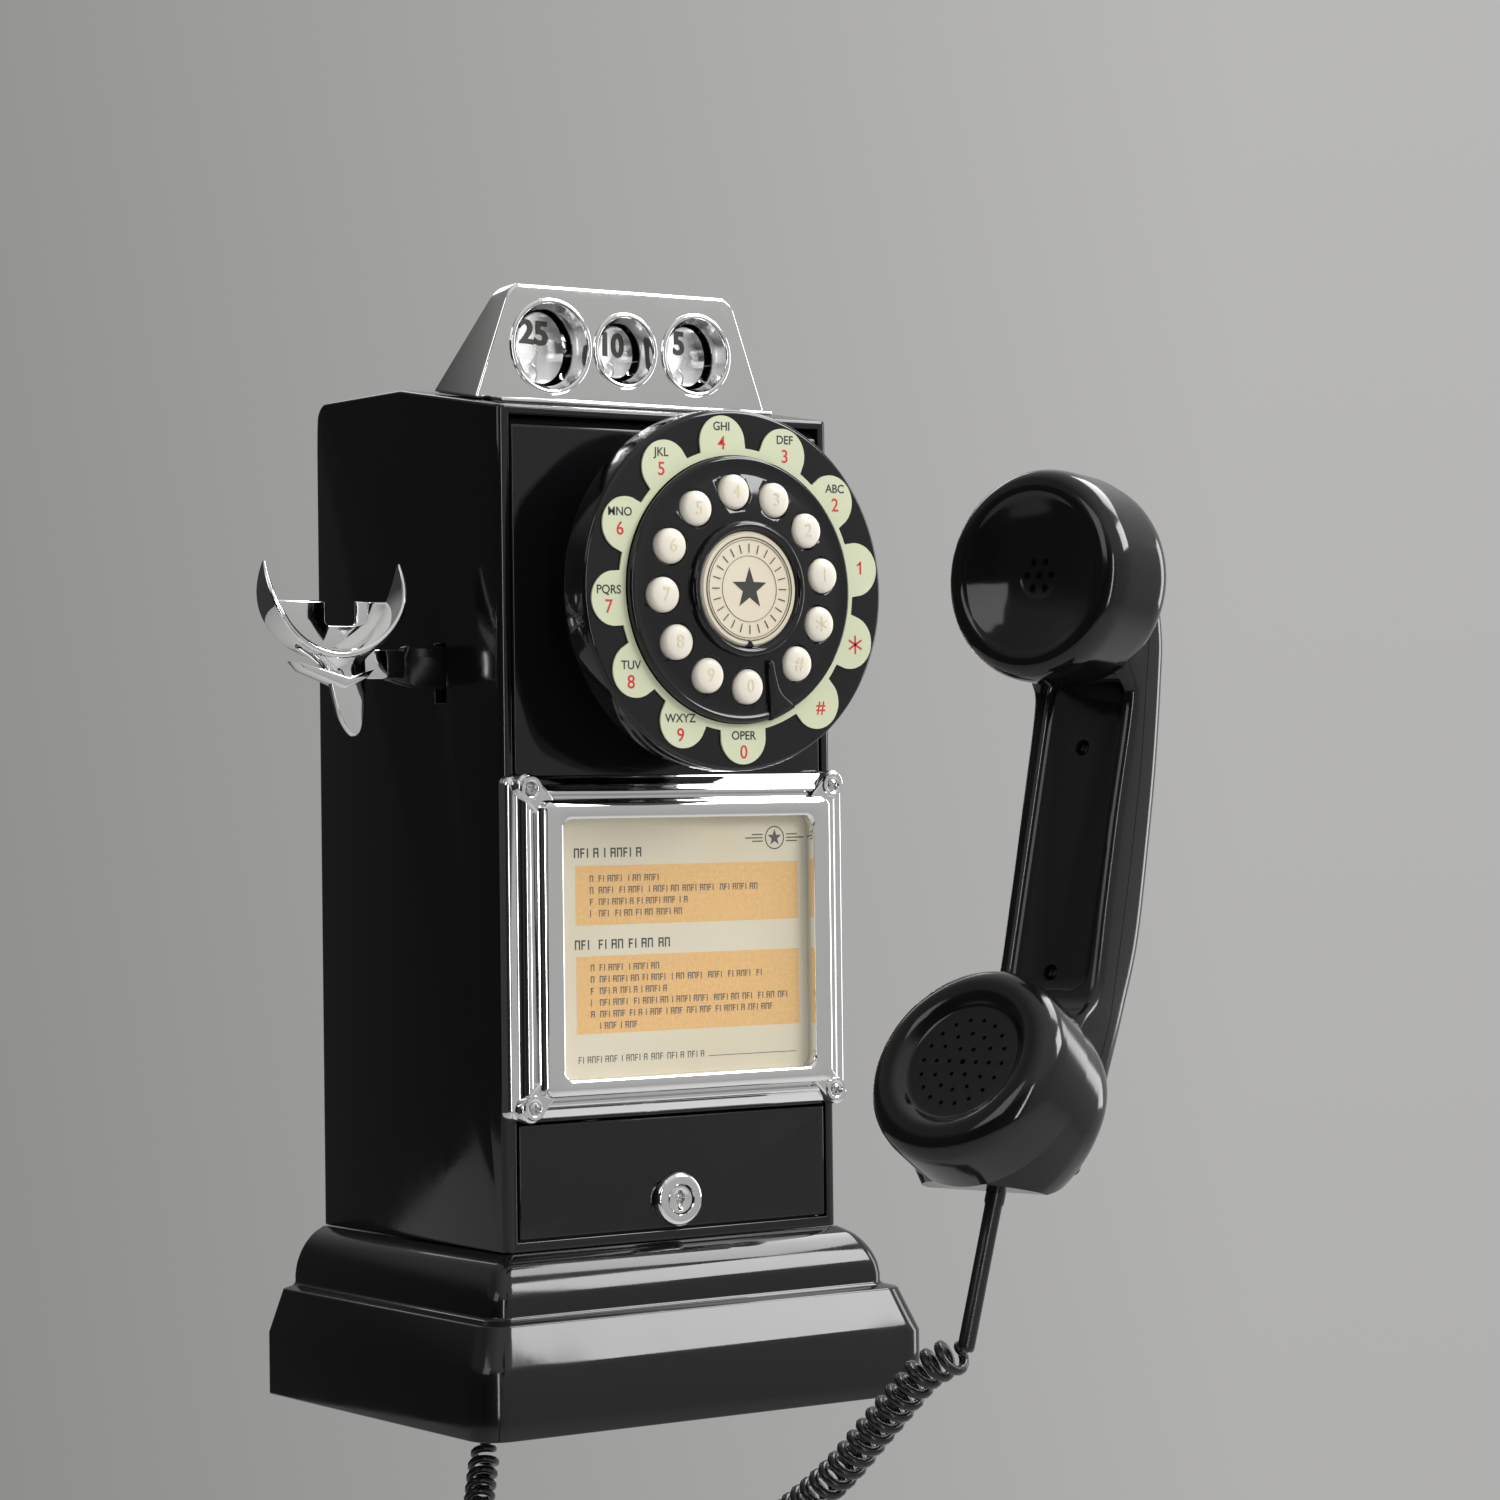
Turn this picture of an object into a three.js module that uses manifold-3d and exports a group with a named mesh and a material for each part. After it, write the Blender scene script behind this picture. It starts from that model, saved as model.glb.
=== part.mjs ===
// A wall payphone with a push-button dial, a coin head, a sprung hook and a handset on a curly cord.
// Millimetres, +Z up. The phone's front faces -Y and its back lies on the wall plane y = 0.
// Heights in the code are above the underside of the base; the whole model is then lowered by
// WALL_HEIGHT, so that the part's origin is the point of the back plate that is fixed to the wall.
import * as THREE from 'three';
import { mergeVertices } from 'three/addons/utils/BufferGeometryUtils.js';
import Module from 'manifold-3d';

const wasm = await Module();
wasm.setup();

// ---------------------------------------------------------------- driving dimensions
const GAP = 0.3;                  // clearance between pieces that touch
const WALL_HEIGHT = 230;          // the wall fixing's height above the underside of the base
const BODY_HALF = 82.5;
const BODY_FRONT = -148.4;
const BODY_BOTTOM = 70;
const BODY_TOP_REAR = 424.5;
const BODY_TOP_FRONT = 412.3;
const TOP_KINK = -71;             // the top is level behind this line and slopes down in front of it
const WALL = 4;
const PANEL_HALF = 76;
const PANEL_TOP = 407.6;
const DOOR_TOP = 121.5;
const DIAL_Z = 336.7;
const DIAL_R = 73.3;
const DIAL_FRONT = -197;
const DIAL_DEPTH = 16;
const DOME_R = 54;
const BUTTON_RING_R = 39.3;
const BUTTON_R = 7.15;
const BUTTON_STEP = 29.2;         // degrees between neighbouring buttons
const HEAD_FRONT = -116.2;
const HEAD_TOP = 466.5;
const COIN_Z = 441;
const FRAME_HALF = 84;
const FRAME_BOTTOM = 125.3;
const FRAME_TOP = 261.5;
const CARD_HALF = 62;
const CARD_BOTTOM = 139.8;
const CARD_TOP = 244.6;
const CARD_FRONT = -157.2;        // the printed face
const CARD_LAP = 1.5;             // how far the card runs behind the frame
const WINDOW_THICK = 1.8;
const LOCK_Z = 87;
const HINGE = { x: 73.2, y: -145.4 };
const DOOR_RIGHT = 75.5;          // short of the panel's edge, so that the door clears the housing
const HOOK_X = -134.7;
const HOOK_Y = -105;
const HOOK_BOTTOM = 310.6;
const HOOK_R = 32.3;
const HOOK_PIVOT_X = -60;
const HOOK_ARM_Z = 307.5;
const CAP_R = 35;
const CAP_SPACING = 160;          // between the centres of the two caps' faces
const CAP_DEPTH = 22;
const EAR_TILT = 10;              // degrees the ear cap leans towards the mouthpiece
const MOUTH_TILT = 18;            // degrees the mouth cap leans towards the earpiece
const HANDSET_AT = new THREE.Vector3(-128.5, -522.0, 248.2);
const HANDSET_TURN = -74.6;       // degrees about Z, from facing the room to facing left
const HANDSET_LEAN = -15.2;       // degrees about its own width
const LEAD_R = 2.7;
const LEAD_LENGTH = 50;
const COIL_R = 6.5;
const JACK = { x: -62, y: -100 };

const BLACK = { color: 0x111113, roughness: 0.12, metalness: 0 };
const CHROME = { color: 0xd8dadc, roughness: 0.08, metalness: 1 };
const STEEL = { color: 0x9a9da0, roughness: 0.4, metalness: 1 };
const IVORY = { color: 0xe9e2cd, roughness: 0.3, metalness: 0 };
const PALE_GREEN = { color: 0xcbd8c4, roughness: 0.4, metalness: 0 };
const PAPER = { color: 0xe7dfc6, roughness: 0.7, metalness: 0 };
const CLEAR = { color: 0xdfe6ea, roughness: 0.05, metalness: 0, transparent: true, opacity: 0.35 };
const GREY = { color: 0x55585c, roughness: 0.6, metalness: 0 };
const BOARD = { color: 0x2c5a3c, roughness: 0.5, metalness: 0 };
const BRASS = { color: 0xb08d4a, roughness: 0.35, metalness: 1 };

// ---------------------------------------------------------------- solids
function solidOf(geometry) {
  const plain = geometry.clone();
  plain.deleteAttribute('normal');
  plain.deleteAttribute('uv');
  const merged = mergeVertices(plain, 1e-4);
  const index = merged.index.array;
  const triVerts = [];
  for (let i = 0; i < index.length; i += 3) {
    const [a, b, c] = [index[i], index[i + 1], index[i + 2]];
    if (a !== b && b !== c && a !== c) triVerts.push(a, b, c);
  }
  const mesh = new wasm.Mesh({
    numProp: 3,
    vertProperties: new Float32Array(merged.attributes.position.array),
    triVerts: new Uint32Array(triVerts),
  });
  return new wasm.Manifold(mesh);
}

function geometryOf(solid) {
  const mesh = solid.getMesh();
  const geometry = new THREE.BufferGeometry();
  geometry.setAttribute('position', new THREE.BufferAttribute(mesh.vertProperties, mesh.numProp));
  geometry.setIndex(new THREE.BufferAttribute(mesh.triVerts, 1));
  const flat = geometry.toNonIndexed();
  flat.computeVertexNormals();
  return flat;
}

function box(x0, x1, y0, y1, z0, z1) {
  const geometry = new THREE.BoxGeometry(x1 - x0, y1 - y0, z1 - z0);
  geometry.translate((x0 + x1) / 2, (y0 + y1) / 2, (z0 + z1) / 2);
  return solidOf(geometry);
}

function extruded(shape, depth, curveSegments = 6) {
  return new THREE.ExtrudeGeometry(shape, { depth, bevelEnabled: false, curveSegments });
}

// An outline drawn in x and z, as seen from the front, with its depth from y0 back to y1.
function frontSlab(shape, y0, y1, curveSegments) {
  const geometry = extruded(shape, y1 - y0, curveSegments);
  geometry.rotateX(Math.PI / 2);
  geometry.translate(0, y1, 0);
  return solidOf(geometry);
}

// An outline drawn in y and z, as seen from the right, with its width from x0 to x1.
function sideSlab(points, x0, x1) {
  const geometry = extruded(polygon(points), x1 - x0);
  const turn = new THREE.Matrix4().makeBasis(
    new THREE.Vector3(0, 1, 0),
    new THREE.Vector3(0, 0, 1),
    new THREE.Vector3(1, 0, 0),
  );
  geometry.applyMatrix4(turn);
  geometry.translate(x0, 0, 0);
  return solidOf(geometry);
}

function polygon(points) {
  return new THREE.Shape(points.map(([a, b]) => new THREE.Vector2(a, b)));
}

function roundedRect(x0, x1, z0, z1, r) {
  const shape = new THREE.Shape();
  shape.moveTo(x0 + r, z0);
  shape.lineTo(x1 - r, z0);
  shape.absarc(x1 - r, z0 + r, r, -Math.PI / 2, 0);
  shape.lineTo(x1, z1 - r);
  shape.absarc(x1 - r, z1 - r, r, 0, Math.PI / 2);
  shape.lineTo(x0 + r, z1);
  shape.absarc(x0 + r, z1 - r, r, Math.PI / 2, Math.PI);
  shape.lineTo(x0, z0 + r);
  shape.absarc(x0 + r, z0 + r, r, Math.PI, Math.PI * 1.5);
  return shape;
}

// A profile of [radius, y] points turned about the Y axis. It runs from axis to axis or is closed.
function turned(profile, sides = 32) {
  const onAxis = profile[0][0] === 0;
  const points = onAxis ? profile : [...profile, profile[0]];
  const solid = solidOf(new THREE.LatheGeometry(points.map(([r, y]) => new THREE.Vector2(r, y)), sides));
  if (solid.volume() > 0) return solid;
  return turned([...profile].reverse(), sides);
}

function rodY(radius, y0, y1, sides = 24) {
  return turned([[0, y0], [radius, y0], [radius, y1], [0, y1]], sides);
}

function rodZ(radius, z0, z1, sides = 20) {
  return rodY(radius, z0, z1, sides).rotate([90, 0, 0]);
}

// Level rings of equal length, joined one above the other and closed at both ends.
function stacked(rings) {
  const count = rings[0].length;
  const positions = rings.flat(2);
  const index = [];
  for (let k = 0; k + 1 < rings.length; k += 1) {
    for (let i = 0; i < count; i += 1) {
      const j = (i + 1) % count;
      const [a, b] = [k * count + i, k * count + j];
      index.push(a, b, b + count, a, b + count, a + count);
    }
  }
  const last = (rings.length - 1) * count;
  for (let i = 1; i + 1 < count; i += 1) {
    index.push(0, i + 1, i, last, last + i, last + i + 1);
  }
  const geometry = new THREE.BufferGeometry();
  geometry.setAttribute('position', new THREE.Float32BufferAttribute(positions, 3));
  geometry.setIndex(index);
  return solidOf(geometry);
}

// A ring at height z: square at the wall, rounded at the two front corners.
function planRing(half, front, radius, z) {
  const steps = 5;
  const ring = [[half, 0, z], [-half, 0, z]];
  for (let i = 0; i <= steps; i += 1) {
    const a = Math.PI + (i / steps) * (Math.PI / 2);
    ring.push([-half + radius * (1 + Math.cos(a)), front + radius * (1 + Math.sin(a)), z]);
  }
  for (let i = 0; i <= steps; i += 1) {
    const a = Math.PI * 1.5 + (i / steps) * (Math.PI / 2);
    ring.push([half - radius * (1 - Math.cos(a)), front + radius * (1 + Math.sin(a)), z]);
  }
  return ring;
}

function tube(points, radius, steps, sides) {
  const path = new THREE.CatmullRomCurve3(points);
  const section = new THREE.Shape();
  for (let i = 0; i < sides; i += 1) {
    const a = (i / sides) * Math.PI * 2;
    const [x, y] = [radius * Math.cos(a), radius * Math.sin(a)];
    if (i === 0) section.moveTo(x, y);
    else section.lineTo(x, y);
  }
  return solidOf(new THREE.ExtrudeGeometry(section, { steps, bevelEnabled: false, extrudePath: path }));
}

function piece(name, solid, finish) {
  const mesh = new THREE.Mesh(geometryOf(solid), new THREE.MeshStandardMaterial(finish));
  mesh.name = name;
  return mesh;
}

const radians = THREE.MathUtils.degToRad;

// ---------------------------------------------------------------- housing
function topHeight(y) {
  if (y >= TOP_KINK) return BODY_TOP_REAR;
  const slope = (BODY_TOP_REAR - BODY_TOP_FRONT) / (TOP_KINK - BODY_FRONT);
  return BODY_TOP_REAR - (TOP_KINK - y) * slope;
}

function housingOutline(inset, front) {
  const round = 8;
  const top = BODY_TOP_REAR - inset;
  const points = [[1, BODY_BOTTOM + GAP + inset], [1, top - round]];
  for (let i = 1; i <= 4; i += 1) {
    const a = (i / 4) * (Math.PI / 2);
    points.push([-round + round * Math.cos(a), top - round + round * Math.sin(a)]);
  }
  points.push([TOP_KINK, top], [front, topHeight(front) - inset], [front, BODY_BOTTOM + GAP + inset]);
  return points;
}

function housingShell() {
  const wall = box(-200, 200, -300, 0, 0, 600);
  const outer = sideSlab(housingOutline(0, BODY_FRONT), -BODY_HALF, BODY_HALF).intersect(
    stacked([planRing(BODY_HALF, BODY_FRONT, 3.5, 0), planRing(BODY_HALF, BODY_FRONT, 3.5, 600)]),
  );
  const inside = BODY_HALF - WALL;
  const hollow = sideSlab(housingOutline(WALL, BODY_FRONT + WALL), -inside, inside);
  const front = box(-PANEL_HALF - 1.2, PANEL_HALF + 1.2, BODY_FRONT - 5, -100, 74.4, PANEL_TOP + 1.2);
  const hookSlot = box(-BODY_HALF - 1, -70, HOOK_Y - 1.2, HOOK_Y + 8.2, HOOK_ARM_Z - 14.5, HOOK_ARM_Z + 9.9);
  const chuteSlot = box(-50, 50, -102, -84, 400, 440);
  return outer.intersect(wall).subtract(hollow).subtract(front).subtract(hookSlot).subtract(chuteSlot);
}

function backPlate() {
  const half = BODY_HALF - WALL - GAP;
  const plate = frontSlab(roundedRect(-half, half, 74.7, 411.8, 3), -WALL, 0);
  const keyhole = (x, z) => rodY(5, -10, 10, 10).translate([x, 0, z]);
  return [[-50, 130], [50, 130], [-50, 360], [50, 360]].reduce(
    (solid, [x, z]) => solid.subtract(keyhole(x, z)),
    plate,
  );
}

function frontPanel() {
  const shape = roundedRect(-PANEL_HALF, PANEL_HALF, DOOR_TOP + 0.8, PANEL_TOP, 4);
  const bevelled = [
    [BODY_FRONT, 100],
    [BODY_FRONT, PANEL_TOP - 4],
    [BODY_FRONT + 3, PANEL_TOP + 1],
    [BODY_FRONT + 5, PANEL_TOP + 1],
    [BODY_FRONT + 5, 100],
  ];
  const cardBed = box(
    -CARD_HALF + 1, CARD_HALF - 1, CARD_FRONT + 1.5, BODY_FRONT + 1, CARD_BOTTOM + 1, CARD_TOP - 1,
  );
  return frontSlab(shape, BODY_FRONT, BODY_FRONT + WALL)
    .intersect(sideSlab(bevelled, -90, 90))
    .subtract(rodY(20, -160, -130, 20).translate([0, 0, DIAL_Z]))
    .add(cardBed);
}

// Each level of the base: how far it stands out from the housing, and its height.
const BASE_LEVELS = [
  [28.2, 0], [28.2, 26.5], [27, 29.5], [21, 44.5], [16.5, 45.6], [15.2, 46.8],
  [15.2, 50], [14, 55.5], [11, 61.5], [6.5, 66.6], [1, BODY_BOTTOM],
];

function baseMoulding() {
  const rings = BASE_LEVELS.map(([out, z]) =>
    planRing(BODY_HALF + out, BODY_FRONT - out, 3 + out * 0.35, z));
  const hollow = box(-76, 76, -142, -6, 4, 90);
  const jackHole = box(JACK.x - 8, JACK.x + 8, JACK.y - 7, JACK.y + 7, -1, 6);
  return stacked(rings).subtract(hollow).subtract(jackHole);
}

// ---------------------------------------------------------------- coin head
const COINS = [
  { name: '25', x: -36, rim: 19.3, bore: 16 },
  { name: '10', x: 1, rim: 15.3, bore: 12 },
  { name: '5', x: 37, rim: 17, bore: 13.8 },
];

function headSection(inset) {
  const foot = GAP + inset;
  return [
    [HEAD_FRONT + inset, topHeight(HEAD_FRONT) + foot],
    [HEAD_FRONT + inset, HEAD_TOP - inset],
    [-105.5, HEAD_TOP - inset],
    [-78.5 - inset * 1.6, topHeight(-78.5) + foot],
  ];
}

function headFace(inset) {
  const top = HEAD_TOP + 0.5 - inset;
  const shape = new THREE.Shape();
  shape.moveTo(-76 + inset, 410);
  shape.lineTo(76 - inset, 410);
  shape.lineTo(57 - inset, top - 9);
  shape.quadraticCurveTo(54 - inset, top, 46 - inset, top);
  shape.lineTo(-46 + inset, top);
  shape.quadraticCurveTo(-54 + inset, top, -57 + inset, top - 9);
  return shape;
}

function coinHead() {
  const outer = sideSlab(headSection(0), -80, 80).intersect(frontSlab(headFace(0), -140, -60, 4));
  const inner = sideSlab(headSection(3), -80, 80).intersect(frontSlab(headFace(3.5), -140, -60, 3));
  const throat = box(-48, 48, -101, -88, 414, 430);
  const flange = sideSlab(
    [[-128.6, topHeight(-128.6) + GAP], [-128.6, topHeight(-128.6) + 2], [-114, topHeight(-114) + 2.4],
      [-114, topHeight(-114) + GAP]],
    -68,
    68,
  );
  let head = outer.add(flange).subtract(inner).subtract(throat);
  for (const coin of COINS) {
    const bevel = turned([[0, -118], [coin.rim + 1, -118], [coin.bore, -112], [coin.bore, -108], [0, -108]], 24);
    head = head.subtract(bevel.translate([coin.x, 0, COIN_Z]));
  }
  return head;
}

// The coin gauge inside each hole: a disc that stands slantwise, so a coin goes in beside it.
function coinGauge(coin) {
  const mesh = piece('coin_gauge_' + coin.name, rodY(coin.bore - 1.6, -1, 1, 24), CHROME);
  mesh.position.set(coin.x - 1, HEAD_FRONT + 3.6 + (coin.bore - 1.6) * Math.sin(radians(17)), COIN_Z);
  mesh.rotation.z = radians(17);
  return mesh;
}

function coinChute() {
  const channel = box(-46, 46, -100.5, -88.5, 398, topHeight(-100) - 2);
  const funnel = sideSlab([[-100.5, 330], [-100.5, 398], [-88.5, 398], [-60.5, 330], [-80.5, 330]], -46, 46);
  const drop = box(-46, -26, -80, -60.5, 126, 331);
  const bore = box(-44, 44, -98.5, -90.5, 396, 440);
  const slope = sideSlab([[-98.5, 332], [-98.5, 400], [-90.5, 400], [-64, 332], [-78, 332]], -44, 44);
  const fall = box(-44, -28, -78, -62.5, 100, 334);
  return channel.add(funnel).add(drop).subtract(bore).subtract(slope).subtract(fall);
}

function coinBox() {
  return box(-62, 62, -112, -30, 76, 117).subtract(box(-60, 60, -110, -32, 78, 120));
}

// ---------------------------------------------------------------- coin door and lock
function coinDoor() {
  const outline = roundedRect(-PANEL_HALF, DOOR_RIGHT, 75.2, DOOR_TOP, 2);
  const knuckle = rodZ(3, 80, 116, 16).translate([HINGE.x, HINGE.y, 0]);
  return frontSlab(outline, BODY_FRONT, BODY_FRONT + 4, 3)
    .add(knuckle)
    .subtract(rodZ(1.5, 60, 130, 12).translate([HINGE.x, HINGE.y, 0]))
    .subtract(rodY(9.3, -160, -130, 24).translate([0, 0, LOCK_Z]));
}

function doorHingePin() {
  return rodZ(1.3, 74.8, 121, 10).translate([HINGE.x, HINGE.y, 0]);
}

function lockBody() {
  const shell = turned([
    [6.3, -152.4], [9.6, -152.4], [11.2, -150.8], [11.2, BODY_FRONT - GAP], [9, BODY_FRONT - GAP],
    [9, -122], [6.3, -122],
  ], 24);
  return shell.translate([0, 0, LOCK_Z]);
}

function lockPlug() {
  const slot = box(-0.7, 0.7, -160, -146, -3.6, 3.6);
  const round = rodY(1.7, -160, -146, 12);
  return rodY(6, -152, -117.3, 24).subtract(slot).subtract(round).translate([0, 0, LOCK_Z]);
}

function lockCam() {
  const cam = frontSlab(roundedRect(-4.5, 4.5, -5, 22, 3), -117, -115.2, 3);
  return cam.translate([0, 0, LOCK_Z]);
}

// ---------------------------------------------------------------- dial
function atDial(solid) {
  return solid.translate([0, 0, DIAL_Z]);
}

function dialNeck() {
  const back = BODY_FRONT - GAP;
  const front = DIAL_FRONT + DIAL_DEPTH + GAP;
  return atDial(turned([
    [16, front], [50, front], [46, front + 10], [43, back - 6], [45, back], [16, back],
  ], 24));
}

function dialDisc() {
  const back = DIAL_FRONT + DIAL_DEPTH;
  return atDial(turned([
    [12, back], [71.3, back], [73.3, back - 2], [DIAL_R, DIAL_FRONT + 2.4], [72.6, DIAL_FRONT + 0.7],
    [71, DIAL_FRONT], [51, DIAL_FRONT], [51, back - 3], [12, back - 3],
  ], 36));
}

// A flat ring with a round tab behind each button's place.
function numberPlate() {
  let plate = rodY(57.4, 0, 0.8, 36);
  for (let i = 0; i < 12; i += 1) {
    const a = buttonAngle(i);
    const tab = rodY(11, 0, 0.8, 14).translate([Math.sin(a) * 59.6, 0, Math.cos(a) * 59.6]);
    plate = plate.add(tab);
  }
  plate = plate.subtract(rodY(DOME_R + 0.5, -2, 2, 36));
  return atDial(plate.translate([0, DIAL_FRONT - GAP - 0.8, 0]));
}

// Buttons run clockwise from just left of the top; the widest gap holds the finger stop.
const BUTTONS = ['4', '3', '2', '1', 'star', 'hash', '0', '9', '8', '7', '6', '5'];

function buttonAngle(i) {
  const first = -6.6;
  const extra = i >= 6 ? 360 - 12 * BUTTON_STEP : 0;
  return radians(first + i * BUTTON_STEP + extra);
}

function domeHeight(r) {
  return DIAL_FRONT - 2.6 - 6 * (1 - (r / DOME_R) ** 2);
}

function dialDome() {
  const top = domeHeight(28);
  const seat = DIAL_FRONT - GAP;
  const outer = [28, 36, 44, 50, DOME_R].map((r) => [r, domeHeight(r)]);
  const inner = [[DOME_R, seat], [50.5, seat], [50.5, domeHeight(44) + 2.6], [28, top + 2.4]];
  let dome = turned([[0, top], ...outer, ...inner, [0, top + 2.4]], 36);
  BUTTONS.forEach((_, i) => {
    const a = buttonAngle(i);
    const hole = rodY(BUTTON_R + 0.45, -230, -190, 14);
    dome = dome.subtract(hole.translate([Math.sin(a) * BUTTON_RING_R, 0, Math.cos(a) * BUTTON_RING_R]));
  });
  return atDial(dome);
}

function button(i) {
  const face = domeHeight(BUTTON_RING_R) - 2.4;
  const cap = turned([
    [0, face], [3.2, face + 0.25], [5.6, face + 0.9], [BUTTON_R, face + 2.2], [BUTTON_R, -193], [0, -193],
  ], 14);
  const mesh = piece('button_' + BUTTONS[i], cap, IVORY);
  const a = buttonAngle(i);
  mesh.position.set(Math.sin(a) * BUTTON_RING_R, 0, DIAL_Z + Math.cos(a) * BUTTON_RING_R);
  return mesh;
}

function badgeRing() {
  const y = domeHeight(28) - GAP;
  return atDial(turned([
    [23.6, y], [23.6, y - 2.4], [24.6, y - 3.2], [26, y - 3], [27.4, y - 1.6], [27.4, y],
  ], 28));
}

function badge() {
  const y = domeHeight(28) - GAP;
  return atDial(turned([[0, y - 2], [21, y - 1.7], [23.2, y - 1.2], [23.2, y], [0, y]], 28));
}

function fingerStop() {
  const above = (r, lift) => domeHeight(Math.min(r, DOME_R)) - lift;
  const lower = [34, 40, 46, 52, 57].map((r) => [above(r, 0.35), r]);
  const upper = [57, 52, 46, 40, 35].map((r) => [above(r, 2.6), r]);
  const bar = sideSlab([...lower, ...upper], -2.2, 2.2);
  return atDial(bar.rotate([0, 157, 0]));
}

function keypadMat() {
  return atDial(turned([[30, -190.4], [48.5, -190.4], [48.5, -188], [30, -188]], 24));
}

function keypadBoard() {
  return atDial(rodY(48.8, -187.6, -186, 24));
}

// ---------------------------------------------------------------- instruction card
function cardFrame() {
  const seat = BODY_FRONT - GAP;
  const steps = [
    [FRAME_HALF, FRAME_BOTTOM, FRAME_TOP, 4, 5.6],
    [77, 128.2, 258, 4, 9.2],
    [70.5, 130.8, 255.2, 5, 14.6],
  ];
  let frame = null;
  for (const [half, bottom, top, r, out] of steps) {
    const step = frontSlab(roundedRect(-half, half, bottom, top, r), BODY_FRONT - out, seat, 3);
    frame = frame ? frame.add(step) : step;
  }
  for (const [x, z] of SCREWS) {
    frame = frame.add(rodY(5.2, BODY_FRONT - 9.2, seat, 12).translate([x, 0, z]));
    frame = frame.subtract(rodY(2, BODY_FRONT - 20, -150, 8).translate([x, 0, z]));
  }
  const opening = roundedRect(-CARD_HALF, CARD_HALF, CARD_BOTTOM, CARD_TOP, 5);
  const pocket = roundedRect(-CARD_HALF - 3, CARD_HALF + 3, CARD_BOTTOM - 3, CARD_TOP + 3, 4);
  const lip = CARD_FRONT - WINDOW_THICK - 0.7;
  return frame.subtract(frontSlab(opening, -170, -140, 3)).subtract(frontSlab(pocket, lip, -140, 3));
}

const SCREWS = [[-75, 257.4], [75, 257.4], [-75, 129], [75, 129]];

function frameScrew(i) {
  const [x, z] = SCREWS[i];
  const head = BODY_FRONT - 9.2 - GAP;
  const screw = turned([
    [0, head - 1.8], [2.2, head - 1.5], [3.7, head - 0.4], [3.7, head], [1.6, head], [1.6, head + 6], [0, head + 6],
  ], 10);
  const slot = box(-0.5, 0.5, head - 4, head - 0.9, -5, 5).rotate([0, 35 + 40 * i, 0]);
  return screw.subtract(slot).translate([x, 0, z]);
}

function card() {
  const half = CARD_HALF + CARD_LAP;
  return box(-half, half, CARD_FRONT, CARD_FRONT + 1.2, CARD_BOTTOM - CARD_LAP, CARD_TOP + CARD_LAP);
}

function cardWindow() {
  const half = CARD_HALF + CARD_LAP;
  const back = CARD_FRONT - 0.4;
  return box(-half, half, back - WINDOW_THICK, back, CARD_BOTTOM - CARD_LAP, CARD_TOP + CARD_LAP);
}

// ---------------------------------------------------------------- hook
function hookArm() {
  const y0 = HOOK_Y;
  const y1 = HOOK_Y + 7;
  const outline = new THREE.Shape();
  outline.moveTo(-108.6, HOOK_ARM_Z - 5);
  outline.lineTo(-96, HOOK_ARM_Z - 9);
  outline.lineTo(-72, HOOK_ARM_Z - 9);
  outline.lineTo(-48, HOOK_ARM_Z - 6);
  outline.lineTo(-48, HOOK_ARM_Z + 6);
  outline.lineTo(-72, HOOK_ARM_Z + 9);
  outline.lineTo(-100, HOOK_ARM_Z + 9);
  outline.lineTo(-101.6, HOOK_ARM_Z + 5);
  return frontSlab(outline, y0, y1)
    .subtract(rodY(3.3, -120, -90, 16).translate([HOOK_PIVOT_X, 0, HOOK_ARM_Z]));
}

function hookPin() {
  return rodY(3, -118, -84, 16).translate([HOOK_PIVOT_X, 0, HOOK_ARM_Z]);
}

function hookCradle() {
  const thick = 3;
  const z = HOOK_BOTTOM + HOOK_R;
  const shape = new THREE.Shape();
  const lean = radians(11);
  shape.absarc(HOOK_X, z, HOOK_R, lean, -Math.PI - lean, true);
  shape.absarc(HOOK_X, z, HOOK_R - thick, -Math.PI - lean, lean, false);
  const strip = frontSlab(shape, HOOK_Y - 8.5, HOOK_Y + 8.5, 11);
  const middle = HOOK_X + 4;
  const tongue = frontSlab(polygon([
    [middle - 8, HOOK_BOTTOM + 2], [middle - 5.5, HOOK_BOTTOM - 12], [middle - 1, HOOK_BOTTOM - 26],
    [middle + 2.5, HOOK_BOTTOM - 31], [middle + 6, HOOK_BOTTOM - 31], [middle + 9, HOOK_BOTTOM - 26],
    [middle + 9.5, HOOK_BOTTOM - 12], [middle + 9, HOOK_BOTTOM + 3.4],
  ]), HOOK_Y - 3, HOOK_Y - GAP);
  const boss = box(middle + 4, -103, HOOK_Y - 3, HOOK_Y - GAP, HOOK_ARM_Z - 4, HOOK_ARM_Z + 8);
  const bowl = rodY(HOOK_R - thick + 0.2, -130, -80, 28).translate([HOOK_X, 0, z]);
  const wall = rodY(HOOK_R - 1, HOOK_Y + 6, HOOK_Y + 8.5, 28).translate([HOOK_X, 0, z])
    .subtract(box(-200, -50, -120, -80, HOOK_BOTTOM + 23.8, 400))
    .subtract(box(HOOK_X, HOOK_X + 14.6, -120, -80, HOOK_BOTTOM + 14, 400));
  return tongue.add(boss).subtract(bowl).add(strip).add(wall);
}

function hookSpring() {
  const turns = 6;
  const points = [];
  for (let i = 0; i <= turns * 8; i += 1) {
    const a = (i / 8) * Math.PI * 2;
    points.push(new THREE.Vector3(-50 + 3.4 * Math.cos(a), -101.5 + 3.4 * Math.sin(a), 270 + i * 0.55));
  }
  return tube(points, 0.55, turns * 8, 5);
}

// ---------------------------------------------------------------- inside the housing
function mainBoard() {
  return box(-60, 60, -14, -12.4, 240, 390);
}

function ringer() {
  const profile = [[0, -20], [12, -20], [14, -14], [27, -10], [27, -8], [0, -8]];
  return turned(profile, 28).translate([0, 0, 190]);
}

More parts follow.
